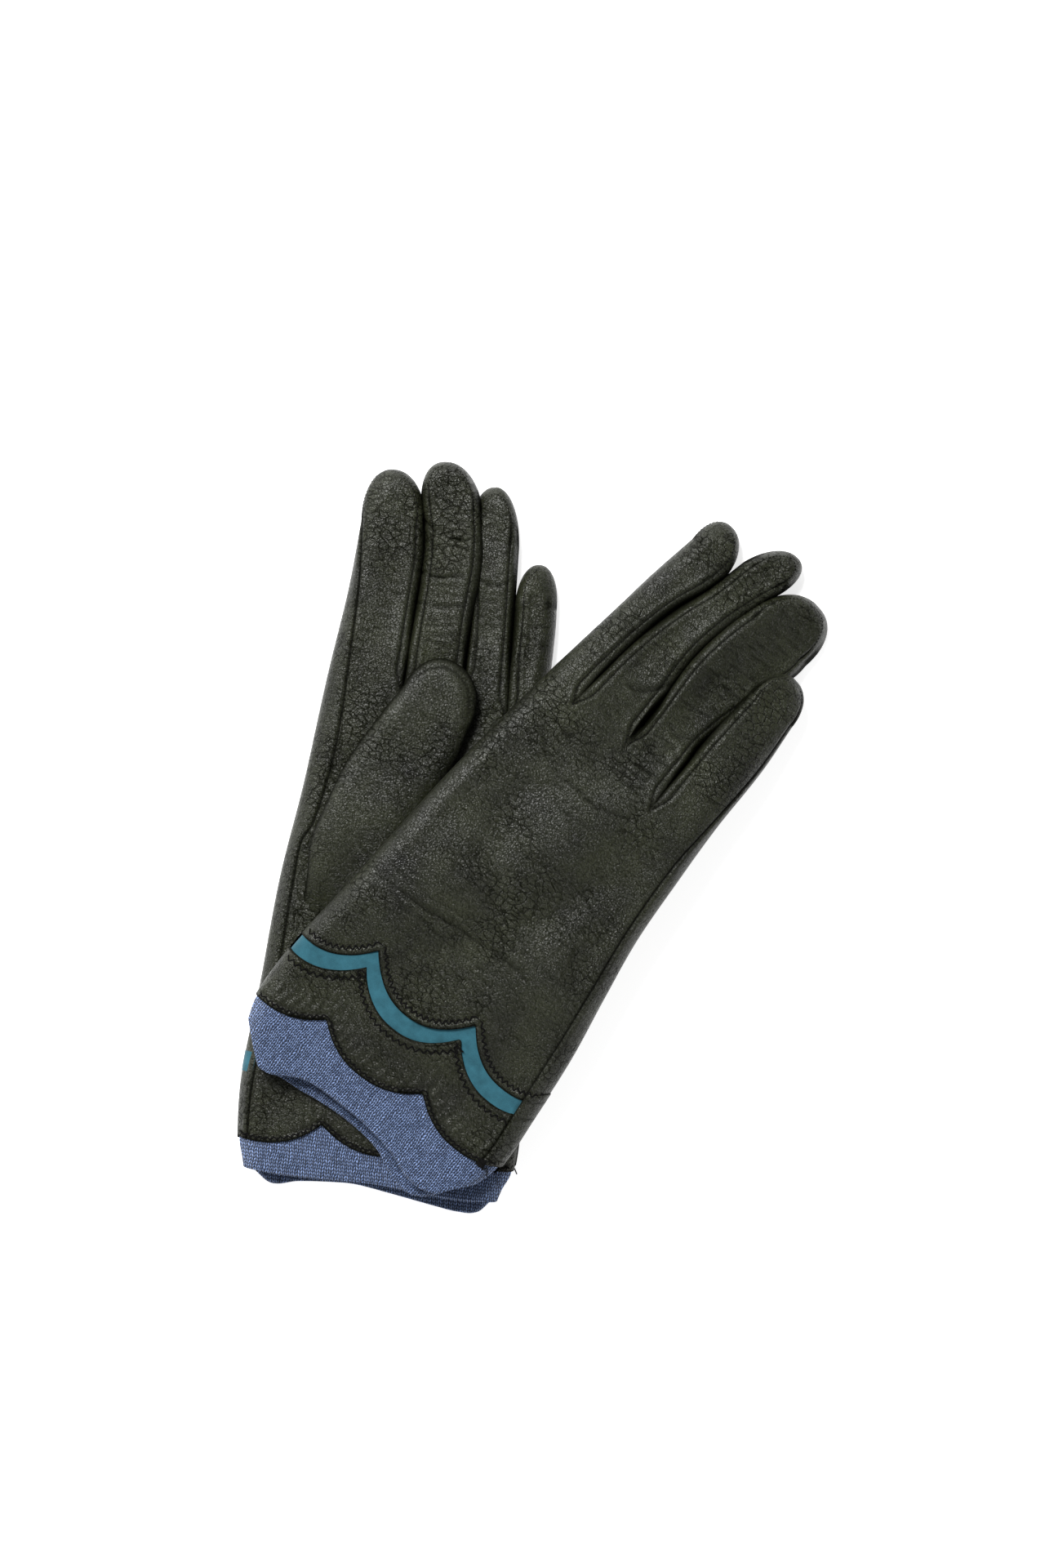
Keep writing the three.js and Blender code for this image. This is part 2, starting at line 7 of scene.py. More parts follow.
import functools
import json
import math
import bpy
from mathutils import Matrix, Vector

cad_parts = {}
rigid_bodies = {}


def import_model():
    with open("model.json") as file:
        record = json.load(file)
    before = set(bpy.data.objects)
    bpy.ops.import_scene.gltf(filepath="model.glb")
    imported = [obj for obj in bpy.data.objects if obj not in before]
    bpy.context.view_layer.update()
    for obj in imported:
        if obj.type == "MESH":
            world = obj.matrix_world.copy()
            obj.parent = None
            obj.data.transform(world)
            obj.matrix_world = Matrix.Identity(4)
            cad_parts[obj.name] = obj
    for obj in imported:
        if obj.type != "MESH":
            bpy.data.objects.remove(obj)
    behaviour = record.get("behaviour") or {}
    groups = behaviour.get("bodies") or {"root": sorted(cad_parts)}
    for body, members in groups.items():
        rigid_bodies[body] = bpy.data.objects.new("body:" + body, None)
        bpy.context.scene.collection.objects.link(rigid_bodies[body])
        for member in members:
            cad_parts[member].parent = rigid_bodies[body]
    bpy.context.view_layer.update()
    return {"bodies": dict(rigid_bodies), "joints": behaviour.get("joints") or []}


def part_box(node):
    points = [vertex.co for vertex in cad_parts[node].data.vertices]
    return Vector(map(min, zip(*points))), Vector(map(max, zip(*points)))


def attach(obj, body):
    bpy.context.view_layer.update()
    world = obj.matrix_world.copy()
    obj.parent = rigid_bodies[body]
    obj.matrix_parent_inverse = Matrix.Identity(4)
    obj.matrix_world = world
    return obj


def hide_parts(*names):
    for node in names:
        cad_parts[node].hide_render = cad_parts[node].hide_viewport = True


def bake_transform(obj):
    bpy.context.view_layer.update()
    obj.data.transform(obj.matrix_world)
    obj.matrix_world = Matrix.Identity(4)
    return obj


bl_info = {
    "name": "Leather gloves",
    "version": (1, 0, 0),
    "blender": (4, 5, 0),
    "location": "View3D > Sidebar > Gloves",
    "description": "Builds a crossed pair of lined leather dress gloves around a packed CAD frame",
    "category": "Add Mesh",
}

import bpy
import numpy as np

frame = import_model()

MM = 0.001  # metres in a millimetre

# Shape of a glove. Outlines are lists of (y, x): the index-side edge, the three lines between the fingers
# and the little-finger-side edge. A bed is a list of (y, z): the height of what the glove lies on. Vees are
# where the seams of a gap between two fingers start on the face; past its opening a gap is open. Cross folds
# come in families: (lane, from, to, how many, depth).
LEFT = {
    "name": "left",
    "palm_up": True,
    "from_cuff": (44.333, 19.195),
    "turn": 7.2,
    "rails": [
        [(-14, -41), (-6, -43), (0, -44.7), (20, -46), (50, -43.8), (85, -41.7), (115, -38),
         (150, -34.8), (180, -31.4), (208, -29.8)],
        [(-14, -20), (20, -21), (100, -14), (150, -10), (170, -9.4), (190, -8.7), (200, -9.4), (208, -11.4)],
        [(-14, -1), (20, 0), (100, 7), (150, 9), (171, 8.8), (192, 9.9), (200, 9.4), (208, 8.2)],
        [(-14, 18), (20, 19), (100, 23), (140, 24.4), (160, 23.2), (180, 22.2), (200, 21)],
        [(-14, 40), (-6, 42), (0, 44.4), (15, 44.8), (50, 43.4), (85, 40.4), (115, 38), (150, 36.5),
         (176, 36), (186, 35)],
    ],
    "bed": [(0, 0), (200, 0)],
    "vees": {True: (147, 150, 142.5), False: (134, 134, 123)},
    "openings": (156, 159, 151.5),
    "fingers": [
        {"name": "index", "lean": 2, "cap_from": 201, "tip": (-21, 219)},
        {"name": "middle", "lean": 2, "cap_from": 208, "tip": (-4.5, 223.5)},
        {"name": "ring", "lean": 0, "cap_from": 199, "tip": (11.3, 217.5)},
        {"name": "little", "lean": -3, "cap_from": 180, "tip": (28.4, 194.5)},
    ],
    # The ring finger's tip lies under the middle one.
    "own_sides": {(2, 0): [(160, 8.8), (175, 8), (190, 6.3), (205, 4.8)]},
    "tilts": {(2, 0): -2.6, (1, 1): 1.2},
    "side_seam": [(0, 0.6), (20, 0.75), (60, 0.95), (85, 0.85), (97, 0.75), (103, 1.15), (119, 1.38),
                  (130, 1.43), (145, 1.3), (161, 1.0), (178, 0.62)],
    "knit_end": {
        True: [(-42, -8), (-30, -8.5), (0, -7.8), (30, -9.5), (42, -9)],
        False: [(-43, -8), (-37, -12), (-27, -10.4), (-14, -9.3), (-6, -9.1), (7, -10.6), (25, -12.9),
                (33, -13.7), (40, -13), (43, -9)],
    },
    "thumb": {
        "origin": (-20.5, 104),
        "turn": 30,
        "rails": [
            [(-38, 6), (-22, -1.5), (-12, -7.6), (1, -11), (16, -13.9), (35, -14.3), (46, -14)],
            [(-38, 20), (-10, 17), (20, 15), (37, 13.8), (46, 11.4)],
        ],
        "root": -34,
        "cap_from": 46,
        "tip": (-3.4, 61.6),
    },
    "cross_folds": [
        (0, 150, 208, 20, 0.18),
        (1, 158, 214, 30, 0.22),
        (2, 158, 210, 24, 0.2),
        (3, 148, 190, 16, 0.18),
        (0, 50, 110, 12, 0.14),
    ],
}
RIGHT = {
    "name": "right",
    "palm_up": False,
    "from_cuff": (41.319, 36.869),
    "turn": 37.5,
    "rails": [
        [(-15, -41.5), (-6, -45), (0, -46.8), (20, -47.3), (48, -44.7), (94, -41), (138, -35.3),
         (170, -30.2), (184, -28), (201, -24.6)],
        [(-15, -22), (20, -23.5), (100, -24), (133, -22.9), (153, -20.8), (167, -18.4), (180, -14.9),
         (191, -10.6), (202, -7.7)],
        [(-15, -3), (20, -3.5), (100, -3), (134, -1.7), (150, -1.1), (170, -1.3), (186, 1.6), (199, 6.2),
         (206, 9.6)],
        [(-15, 16), (20, 15.5), (100, 17), (132, 17), (150, 17.7), (167, 19.1), (178, 20.5), (186, 24.5),
         (190, 28.6), (196, 29)],
        [(-15, 43), (-6, 46), (4, 48.6), (24, 47.4), (46, 45.3), (67, 41.9), (88, 38.9), (110, 37.8),
         (131, 37.3), (155, 38), (174, 37)],
    ],
    "bed": [(-16, 10.2), (10, 10.5), (25, 12.5), (45, 15.2), (62, 16.6), (80, 17), (100, 17), (118, 16.1),
            (140, 12.5), (165, 7.5), (190, 2.9), (205, 0.8), (218, 0)],
    "vees": {True: (133.2, 133.7, 121.6), False: (141, 142, 134)},
    "openings": (149, 150, 142),
    "fingers": [
        {"name": "index", "lean": 10, "cap_from": 199, "tip": (-16.6, 211.3)},
        {"name": "middle", "lean": 5, "cap_from": 204, "tip": (5.4, 216.4)},
        {"name": "ring", "lean": 3, "cap_from": 191, "tip": (19.6, 208.2)},
        {"name": "little", "lean": 3, "cap_from": 172, "tip": (28.8, 184.6)},
    ],
    # The little finger's tip lies over the ring one.
    "own_sides": {(2, 1): [(150, 17.7), (160, 20), (170, 23.2), (180, 26.6), (187, 28.6), (194, 29)]},
    "tilts": {(2, 1): -2.8, (3, 0): 2.4},
    "side_seam": [(0, 1.12), (40, 1.15), (75, 0.85), (100, 0.75), (115, 0.68), (134, 0.36), (155, 0.25)],
    "knit_end": {
        True: [(-45, -9), (-40, -14.5), (-35, -16), (-27, -13), (-20, -10.4), (-10, -9.6), (8, -10.2),
               (20, -12), (33, -15.5), (42, -14), (46, -8)],
        False: [(-45, -9), (-41, -14.5), (-38, -16.7), (-29, -15), (-20, -14.4), (-8, -13.2), (5, -13.1),
                (16, -14.5), (25, -17.6), (33, -19.6), (39, -18.9), (43, -15.5), (46, -8)],
    },
    "thumb": {
        "origin": (-9, 100),
        "turn": 8,
        "rails": [
            [(-34, -8), (-10, -11), (15, -12.4), (42, -11.5)],
            [(-34, 12), (-10, 12.4), (15, 12.4), (42, 11)],
        ],
        "root": -33,
        "cap_from": 42,
        "tip": (0, 57),
    },
    "cross_folds": [
        (0, 140, 200, 14, 0.16),
        (1, 136, 206, 26, 0.2),
        (2, 128, 202, 40, 0.24),
        (3, 118, 172, 16, 0.14),
        (0, 44, 72, 12, 0.16),
        (1, 44, 72, 14, 0.16),
        (2, 42, 70, 14, 0.16),
        (3, 40, 66, 9, 0.14),
        (0, 104, 130, 9, 0.16),
        (1, 104, 130, 10, 0.16),
        (2, 100, 124, 9, 0.16),
    ],
}
GLOVES = (LEFT, RIGHT)

LOWER = 4.0  # from the middle plane down to the underside
UPPER = 5.6  # from the middle plane up to the top
EDGE_ROUND = 7.0  # width over which an outer edge rounds off
TIP_ROUND = 6.0  # the same at a fingertip
TIP_ROUND_FROM = 120.0  # height at which one starts to turn into the other
TIP_ROUND_LENGTH = 50.0
BASE_ROUND = 4.5  # the same on the underside
VEE_ROUND = 0.9  # the same where a gap between fingers starts
SLIT_ROUND = 3.0  # and where it has come to full width
SLIT_LENGTH = 40.0  # along the gap between those two
ON_FLOOR = 0.45  # lowest that leather reaches, where it lies flat on the floor
SQUEEZE = 0.3  # how far neighbouring fingers press into each other
SQUEEZE_LENGTH = 6.0  # length over which they come to
OVERLAP_LENGTH = 14.0  # length over which a finger comes to lie over its neighbour
CAP_POWER = 2.2  # roundness of a fingertip's outline
CAP_LIMIT = 0.9995  # how far into a tip its last row goes, just short of a point
NEAR_TIP = 20.0  # length over which the two sides of a finger come to round off alike
LEAN_LENGTH = 20.0  # length over which a finger's rows come to lean with it

# Thumbs, each in a frame of its own with y along the thumb.
THUMB_HEIGHT = 6.2
THUMB_ROOT = 0.32  # share of that height at the root
THUMB_RISE = 40.0  # length over which a thumb reaches its full height
THUMB_CLEARANCE = 0.4  # between a thumb and the palm
THUMB_SINK = 3.0  # how far a thumb's root sinks into the palm
THUMB_SINK_LENGTH = 16.0
THUMB_INSET = 1.25  # of a thumb's lining inside its leather
THUMB_LINING_ROWS = 24  # rows at the root that a thumb's lining leaves out
LINING_TIP_ROWS = 8  # and at its tip
THUMB_SEAM = 2.3  # from the thumb's outline to the seam round its tip
THUMB_FOLDS = [(-4, 0.2), (6, 0.15), (14, 0.25), (21, 0.2), (29, 0.3), (36, 0.22), (43, 0.35), (50, 0.2)]
THUMB_HINGE = 47.0  # station at which the left thumb bends
THUMB_REACH = 5.0  # reach either side of it; the thumb is cut this far and 1 more below it

# The scalloped lines of the cuff: (height at the trough, at the cusp).
HEM = (0.8, 8.4)
BAND_LOW = (18.6, 29.0)
BAND_HIGH = (25.0, 36.0)
CUSP_SPACING = 38.5
BACK_CUSP = -24.0
PALM_CUSP = -18.0
SCALLOP_POWER = 2.3

CUFF_LEVEL = 10.0  # height at which lines across the cuff are read

ROW_STEP = 0.8
COMMON_FROM = 32.0  # between these two heights all lanes and both faces have the same rows
COMMON_TO = 140.0
CAP_ROWS = 26
SCALLOP_REACH = 28.0  # height over which the lowest rows follow the scalloped line
REFIT_REACH = 30.0  # above COMMON_FROM, where rows are fitted to the sides again
INNER_COLUMNS = (0, 0.1, 0.25, 0.5, 0.9, 1.4, 2.0, 2.5, 2.9, 3.3, 3.8, 4.6)
OUTER_COLUMNS = (0, 0.35, 0.9, 1.7, 2.7, 3.8, 4.7, 5.2, 5.5, 5.8, 6.4, 7.6)
MIDDLE_COLUMNS = 9
LEAST_MIDDLE = 1.5  # width that the middle columns keep where a lane is narrow
STRIP_EVENNESS = 0.6  # 1 for even columns across a strip, 0 for columns crowded at its ends
COARSE_STEP = 4  # rows and columns of the leather to one of the lining
WELD_STEPS = 500  # places in a millimetre that are told apart
SIDE_SEAM = 5.5  # of a side seam from the outer edge, before the glove's own factor
SLIT_SEAM = 2.9  # of a side strip's seam from the gap it lines
BLEND_REACH = 8.0  # reach either side of a hinge; the cut between hand and finger lies this far and 2 more below it

# Relief of the leather.
SWELL_START = 30.0  # height at which the leather's ups and downs reach their full size
SHARP_FOLD = 0.7  # widest fold whose valley gets the full painted shade line
SEAM_SHADE_WIDTH = 0.34  # width of the painted shade line along a seam
HEM_ROLL = 1.5  # width of the rolled hem
MARGIN = 2.2  # from an edge beside the suede band to its stitching

# The leather's edge, turned under: (out past the edge, down from the face), from the face to the underside.
RIM = ((0.22, 0.06), (0.36, 0.22), (0.4, 0.45), (0.34, 0.7), (0.1, 0.86), (-1.6, 0.9))

# Cuff, knit and lining.
WELT = 0.4  # how far the palm's leather stands over what it wraps
TUCK = 1.5  # how far the suede band reaches under the leather
SUEDE_DEPTH = 0.6  # of the suede band under the leather's face
BAND_END_LIFT = 3.5  # how much higher the band runs where it wraps round the index edge
BAND_END_ABOVE = 0.12  # how far it stands over the leather there
BAND_END_SHARE = 0.85  # of the side seam's distance from the edge that it covers
KNIT_DEPTH = 0.7  # of the knit's outer wall under the leather's face
KNIT_THICKNESS = 1.7
LINING_DEPTH = 1.4  # of the linings under the leather's face
HAND_LINING_END = 118.0  # height at which the hand's lining ends

# Stitching.
STITCH_SIDES = 6
STITCH_PROFILE = ((-1.0, 0.0), (-0.92, 0.6), (-0.6, 1.0), (0.6, 1.0), (0.92, 0.6), (1.0, 0.0))
ZIGZAG = 0.75  # half width of the zigzag stitching beside a scalloped edge
ZIGZAG_LENGTH = 1.15  # of one stroke
ZIGZAG_HEIGHT = 0.16  # above the leather
HEM_ZIGZAG_AT = 1.1  # from the hem to the middle of its zigzag
HEM_ZIGZAG_SHARE = 0.5  # of that half width, on the hem
WHIP_PITCH = 1.7  # between the stitches that go over the hem
TACK_ROWS = 7
TACK_LENGTH = 3.2


# ---- Shape functions -------------------------------------------------------------------------------------


def mix(a, b, t):
    return a + (b - a) * t


def ease(t):
    t = np.clip(t, 0, 1)
    return t * t * (3 - 2 * t)


def rounded(distance, radius):
    """Height share of an edge rounded off over a radius."""
    rest = 1 - np.clip(distance / radius, 0, 1)
    return np.sqrt(1 - rest * rest)


def ridge(distance, width):
    return np.exp(-((distance / width) ** 2))


def curve(points, at):
    """Smooth interpolation of (station, value) points, with the end slopes carried on."""
    stations, values = np.array(points, float).T
    at = np.asarray(at, float)
    slopes = np.empty(len(stations))
    slopes[1:-1] = (values[2:] - values[:-2]) / (stations[2:] - stations[:-2])
    slopes[0] = (values[1] - values[0]) / (stations[1] - stations[0])
    slopes[-1] = (values[-1] - values[-2]) / (stations[-1] - stations[-2])
    i = np.clip(np.searchsorted(stations, at, side="right") - 1, 0, len(stations) - 2)
    step = stations[i + 1] - stations[i]
    t = (at - stations[i]) / step
    inner = (
        (2 * t**3 - 3 * t**2 + 1) * values[i]
        + (t**3 - 2 * t**2 + t) * step * slopes[i]
        + (3 * t**2 - 2 * t**3) * values[i + 1]
        + (t**3 - t**2) * step * slopes[i + 1]
    )
    before = values[0] + (at - stations[0]) * slopes[0]
    after = values[-1] + (at - stations[-1]) * slopes[-1]
    return np.where(at < stations[0], before, np.where(at > stations[-1], after, inner))


def scallop(line, x, cusp_at):
    """Height of a scalloped line, low in the middle of each scallop and rising to a cusp between two."""
    trough, cusp = line
    turns = (x - cusp_at) / CUSP_SPACING
    from_middle = np.abs(2 * (turns - np.floor(turns)) - 1)
    return trough + (cusp - trough) * from_middle**SCALLOP_POWER


def turn_clockwise(origin, degrees, x, y):
    angle = math.radians(degrees)
    return (
        origin[0] + x * math.cos(angle) + y * math.sin(angle),
        origin[1] - x * math.sin(angle) + y * math.cos(angle),
    )


def is_back(glove, up):
    return up != glove["palm_up"]


def cusp_of(glove, up):
    return BACK_CUSP if is_back(glove, up) else PALM_CUSP


def sides(glove, lane, y):
    """The two sides of a lane: of a finger, past its gaps."""

    def side(end):
        rail = lane + end
        x = curve(glove["rails"][rail], y)
        if rail in (0, 4):
            return x
        past = y - glove["openings"][rail - 1]
        own = glove["own_sides"].get((lane, end))
        if own:
            return mix(x, curve(own, y), ease(past / OVERLAP_LENGTH))
        outwards = -1 if end == 0 else 1
        return x + outwards * SQUEEZE / 2 * ease(past / SQUEEZE_LENGTH)

    return side(0), side(1)


def tilt(glove, lane, share, y):
    """How far a finger is lifted where it lies over or under its neighbour."""
    lift = np.zeros_like(share)
    for end, weight in ((0, 1 - share), (1, share)):
        height = glove["tilts"].get((lane, end), 0)
        if height:
            opening = glove["openings"][lane + end - 1]
            lift += height * weight * ease((y - opening) / OVERLAP_LENGTH)
    return lift


def to_row(glove, points):
    """Points of a glove's frame, in millimetres, in the row frame, in metres."""
    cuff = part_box(glove["name"] + "_knit_cuff")[0]
    origin = (cuff.x / MM + glove["from_cuff"][0], cuff.y / MM + glove["from_cuff"][1])
    x, y = turn_clockwise(origin, glove["turn"], points[..., 0], points[..., 1])
    return np.stack([x, y, points[..., 2]], -1) * MM


def directions_to_row(glove, vectors):
    x, y = turn_clockwise((0, 0), glove["turn"], vectors[..., 0], vectors[..., 1])
    return np.stack([x, y, vectors[..., 2]], -1)


# ---- Relief: swells, folds and seams ---------------------------------------------------------------------

# Folds of the face that shows, as (points, depth, width).
FOLDS = {
    "right": [
        ([(-42, 55.4), (-30, 55), (-20.6, 55.3), (-8, 56.6), (0.9, 57.1), (10, 57.6), (17.6, 56.8), (27, 53)],
         0.34, 0.75),
        ([(-40, 60.5), (-28, 59), (-16, 59.8), (-4, 61.6)], 0.2, 0.5),
        ([(-6, 63.5), (6, 62.5), (16, 63), (25, 60)], 0.2, 0.5),
        ([(-38, 66.5), (-24, 65.2), (-10, 66.5)], 0.18, 0.5),
        ([(-30, 51.5), (-18, 51), (-6, 52.4)], 0.16, 0.45),
        ([(2, 50), (14, 52.5), (26, 48)], 0.16, 0.45),
        ([(-34, 46), (-22, 45), (-12, 47)], 0.14, 0.45),
        ([(-30, 124), (-24, 121.6), (-19, 117.5), (-13, 116.5)], 0.3, 0.6),
        ([(-14, 112.5), (-7.3, 114.8), (2, 113.4), (11.5, 116), (17.5, 119.5)], 0.34, 0.65),
        ([(-26, 127.5), (-17, 126.5), (-9, 128.6)], 0.22, 0.5),
        ([(-2, 127.5), (5, 125.5), (12, 126.8)], 0.2, 0.5),
        ([(-10, 107.5), (-0.9, 106.5), (9, 108.5)], 0.2, 0.6),
        ([(20, 112), (27, 108.5), (34, 110.5)], 0.22, 0.6),
        ([(18, 118), (25, 114.5), (33, 116.5)], 0.26, 0.6),
        ([(-14.5, 150.4), (-9, 151), (-5.7, 153.3), (-1.4, 160.5)], 0.5, 0.7),
        ([(0, 141), (6, 144), (12, 143), (16, 140)], 0.26, 0.6),
        ([(4, 150), (9, 147.5), (15, 149.5)], 0.24, 0.5),
        ([(-1.5, 207.7), (2, 206), (5.5, 205.8), (10.4, 206.6)], 0.4, 0.6),
        ([(1, 200.5), (6, 199), (12, 201)], 0.28, 0.5),
        ([(5, 211), (7.5, 207), (8.5, 203)], 0.26, 0.45),
        ([(7.8, 67.4), (11.5, 76), (14.9, 85.9), (18.5, 94), (22.5, 101.6)], 0.42, 5.0),
        ([(-14, 70), (-17, 84), (-18, 98), (-19, 110)], 0.36, 5.5),
        ([(-33, 70), (-34, 90), (-32, 112)], 0.3, 5.0),
        ([(30, 60), (29, 76), (30, 96)], 0.3, 4.5),
        ([(-15.5, 150), (-12, 166), (-7, 184)], 0.3, 3.2),
        ([(8, 152), (9.5, 166), (13, 180)], 0.3, 3.2),
    ],
    "left": [
        ([(-33.1, 101.6), (-29, 104.5), (-24, 107)], 0.4, 0.5),
        ([(-33, 67.5), (-33.2, 85), (-32.5, 96), (-29.5, 106)], 0.5, 0.6),
        ([(-26.5, 127.8), (-22.5, 127), (-25.5, 122.2)], 0.35, 0.45),
        ([(-40, 56), (-34, 58), (-26, 57)], 0.24, 0.6),
        ([(-12, 205.5), (-7, 201.5), (0, 199), (7, 199.5)], 0.5, 0.6),
        ([(-12, 188), (-3, 186.2), (7, 188.3)], 0.42, 0.55),
        ([(-11, 178), (-2, 177), (8, 178.5)], 0.24, 0.5),
        ([(9, 187.5), (15, 185.8), (21.5, 188)], 0.42, 0.55),
        ([(10, 176), (16, 175), (22, 177)], 0.24, 0.5),
        ([(-27, 193), (-21, 191.5), (-13, 193.5)], 0.24, 0.5),
        ([(-27, 205), (-22, 203.5), (-16, 205.5)], 0.2, 0.45),
        ([(-20, 160), (-17, 176), (-19, 194)], 0.3, 3.4),
        ([(-30, 110), (-28, 130), (-27, 150)], 0.3, 4.0),
        ([(26, 152), (29, 165), (30, 178)], 0.25, 2.4),
    ],
}


def fold_relief(points, x, y, depth, width):
    """A fold along a line: a valley with a low lip on either side, running out at both ends, with painted
    shade along the valley.
    """
    along = np.array(points, float)
    steps = np.linspace(0, len(along) - 1, 8 * (len(along) - 1) + 1)
    stations = np.arange(len(along))
    line_x = curve(list(zip(stations, along[:, 0])), steps)
    line_y = curve(list(zip(stations, along[:, 1])), steps)
    reach = 6 * width
    near = (x > line_x.min() - reach) & (x < line_x.max() + reach)
    near &= (y > line_y.min() - reach) & (y < line_y.max() + reach)
    relief = np.zeros_like(x)
    painted_shade = np.zeros_like(x)
    px = x[near][:, None]
    py = y[near][:, None]
    dx, dy = np.diff(line_x), np.diff(line_y)
    share = np.clip(((px - line_x[:-1]) * dx + (py - line_y[:-1]) * dy) / (dx**2 + dy**2), 0, 1)
    gap = np.hypot(px - line_x[:-1] - share * dx, py - line_y[:-1] - share * dy)
    nearest = gap.argmin(1)
    rows = np.arange(len(nearest))
    distance = gap[rows, nearest]
    run = (nearest + share[rows, nearest]) / len(dx)
    taper = ease(np.minimum(run, 1 - run) * 5)
    profile = 0.35 * ridge(distance - 2.2 * width, 1.3 * width) - ridge(distance, width)
    relief[near] = depth * taper * profile
    sharp = min(1, SHARP_FOLD / width) ** 2
    # Painted shade along the valley of a narrow fold.
    painted_shade[near] = min(0.85, 2.4 * depth) * sharp * taper * ridge(distance, 0.45 * width)
    return relief, painted_shade


def finger_folds(glove):
    """The fine cross folds of the fingers and wrist, in families of parallel lines."""
    rng = np.random.default_rng(7 if glove["palm_up"] else 11)
    folds = []
    for lane, low, high, count, depth in glove["cross_folds"]:
        for at in np.linspace(low, high, count) + rng.uniform(-1, 1, count):
            left, right = (float(side) for side in sides(glove, lane, at))
            start = mix(left, right, rng.uniform(0.08, 0.3))
            end = mix(left, right, rng.uniform(0.7, 0.95))
            lift = rng.uniform(-1.5, 1.5)
            sag = rng.uniform(-1.2, 1.2)
            points = [(start, at - lift), ((start + end) / 2, at + sag), (end, at + lift)]
            folds.append((points, depth * rng.uniform(0.5, 1.2), rng.uniform(0.3, 0.6)))
    return folds


def swell(x, y, up):
    """Soft ups and downs of leather that has been worn."""
    phase = 0 if up else 2
    slow = 0.55 * np.sin(x / 9.1 + 1.3 + phase) * np.sin(y / 13.7 + 0.4)
    cross = 0.42 * np.sin((x + 0.6 * y) / 10.3 + 2.1) * np.sin((y - 0.4 * x) / 6.9 + phase)
    fine = 0.07 * np.sin(x / 2.9 + 0.8 * np.sin(y / 5)) * np.sin(y / 3.7 + 0.9 * np.sin(x / 4.1))
    return slow + cross + fine


def cusp_folds(glove, up, x, y):
    """Short folds that fan out from each cusp of the hem."""
    relief = np.zeros_like(x)
    for k in range(-1, 3):
        at = cusp_of(glove, up) + k * CUSP_SPACING
        away = y - HEM[1]
        fan = np.arctan2(x - at, away + 3)
        reach = np.hypot(x - at, away)
        relief += 0.1 * np.cos(fan * 11) * ridge(reach - 5, 4) * (away > -6)
    return relief


def beside_edge(line, x, y, cusp_at):
    """Distance of a point above a scalloped line, measured square to it."""
    step = 0.2
    slope = (scallop(line, x + step, cusp_at) - scallop(line, x - step, cusp_at)) / (2 * step)
    return (y - scallop(line, x, cusp_at)) / np.sqrt(1 + slope**2)


def margin_relief(glove, up, x, y):
    """The rolled hem and the stitched margins beside the suede band, with painted shade at the hem's edge,
    behind its roll and along the leather's edges over the band.
    """
    cusp_at = cusp_of(glove, up)
    over = beside_edge(HEM, x, y, cusp_at)
    relief = 0.4 * np.sqrt(np.clip(1 - (over / HEM_ROLL - 0.5) ** 2 * 4, 0, 1))
    relief -= 0.4 * ridge(over - HEM_ROLL - 0.2, 0.4)
    relief += 0.13 * np.sin(x * 1.9 + np.sin(y / 2)) * ridge(over - 5, 3)
    # Painted shade behind the rolled hem and along its very edge.
    painted_shade = 0.5 * ridge(over - HEM_ROLL - 0.2, 0.3) + 0.95 * (over < 0.5)
    if is_back(glove, up):
        below = -beside_edge(BAND_LOW, x, y, cusp_at)
        above = beside_edge(BAND_HIGH, x, y, cusp_at)
        for distance in (below, above):
            relief -= 0.2 * ridge(distance - MARGIN, 0.7)
            relief += 0.25 * ridge(distance - MARGIN / 2, MARGIN / 3)
            # Painted shade along the leather's edge where the band tucks under it.
            painted_shade = painted_shade + 0.95 * ridge(distance, 0.3)
    return relief, painted_shade


def relief_of(glove, up, x, y, left, right):
    """How far the leather stands out from its plain shape, and how much painted shade it gets there.

    Left and right are distances from the glove's edges.
    """
    relief = swell(x, y, up) * ease(np.minimum(left, right) / 6) * ease((y - HEM[0]) / SWELL_START)
    relief += cusp_folds(glove, up, x, y)
    rolled, painted_shade = margin_relief(glove, up, x, y)
    relief += rolled
    if up:
        for points, depth, width in FOLDS[glove["name"]] + finger_folds(glove):
            fold, valley = fold_relief(points, x, y, depth, width)
            relief += fold
            painted_shade = painted_shade + valley
    factor = curve(glove["side_seam"], y)
    edge = left if glove["palm_up"] == up else right
    seam = SIDE_SEAM * factor
    relief -= 0.5 * ridge(edge - seam, 0.4)
    relief += 0.3 * ridge(edge - seam + 1.4 * np.minimum(1, factor), 1.0)
    relief += 0.1 * ridge(edge - seam - 1.2, 0.7)
    # Painted shade along the side seam's groove.
    painted_shade = painted_shade + ridge(edge - seam, SEAM_SHADE_WIDTH)
    return relief, np.clip(painted_shade, 0, 1)


# ---- The leather skin ------------------------------------------------------------------------------------


class Patch:
    """A grid of points on one face of a glove, with what is known about each."""

    def __init__(self, lane, up, points, relief=None, left=None, right=None):
        self.lane = lane
        self.up = up
        self.points = points
        self.relief = np.zeros(points.shape[:2]) if relief is None else relief
        # painted shade of each point, from 0 to 1
        self.painted_shade = np.zeros(points.shape[:2])
        self.left = left
        self.right = right
        self.rim = 0
        self.ids = None

    def lie_flat(self):
        """Flattens what would reach through the floor."""
        self.points[..., 2] = np.maximum(self.points[..., 2], ON_FLOOR)

    def quads(self, low=0, high=None):
        ids = self.ids[low:high]
        corners = [ids[:-1, :-1], ids[:-1, 1:], ids[1:, 1:], ids[1:, :-1]]
        if not self.up:
            corners.reverse()
        return np.stack([c.ravel() for c in corners], -1)


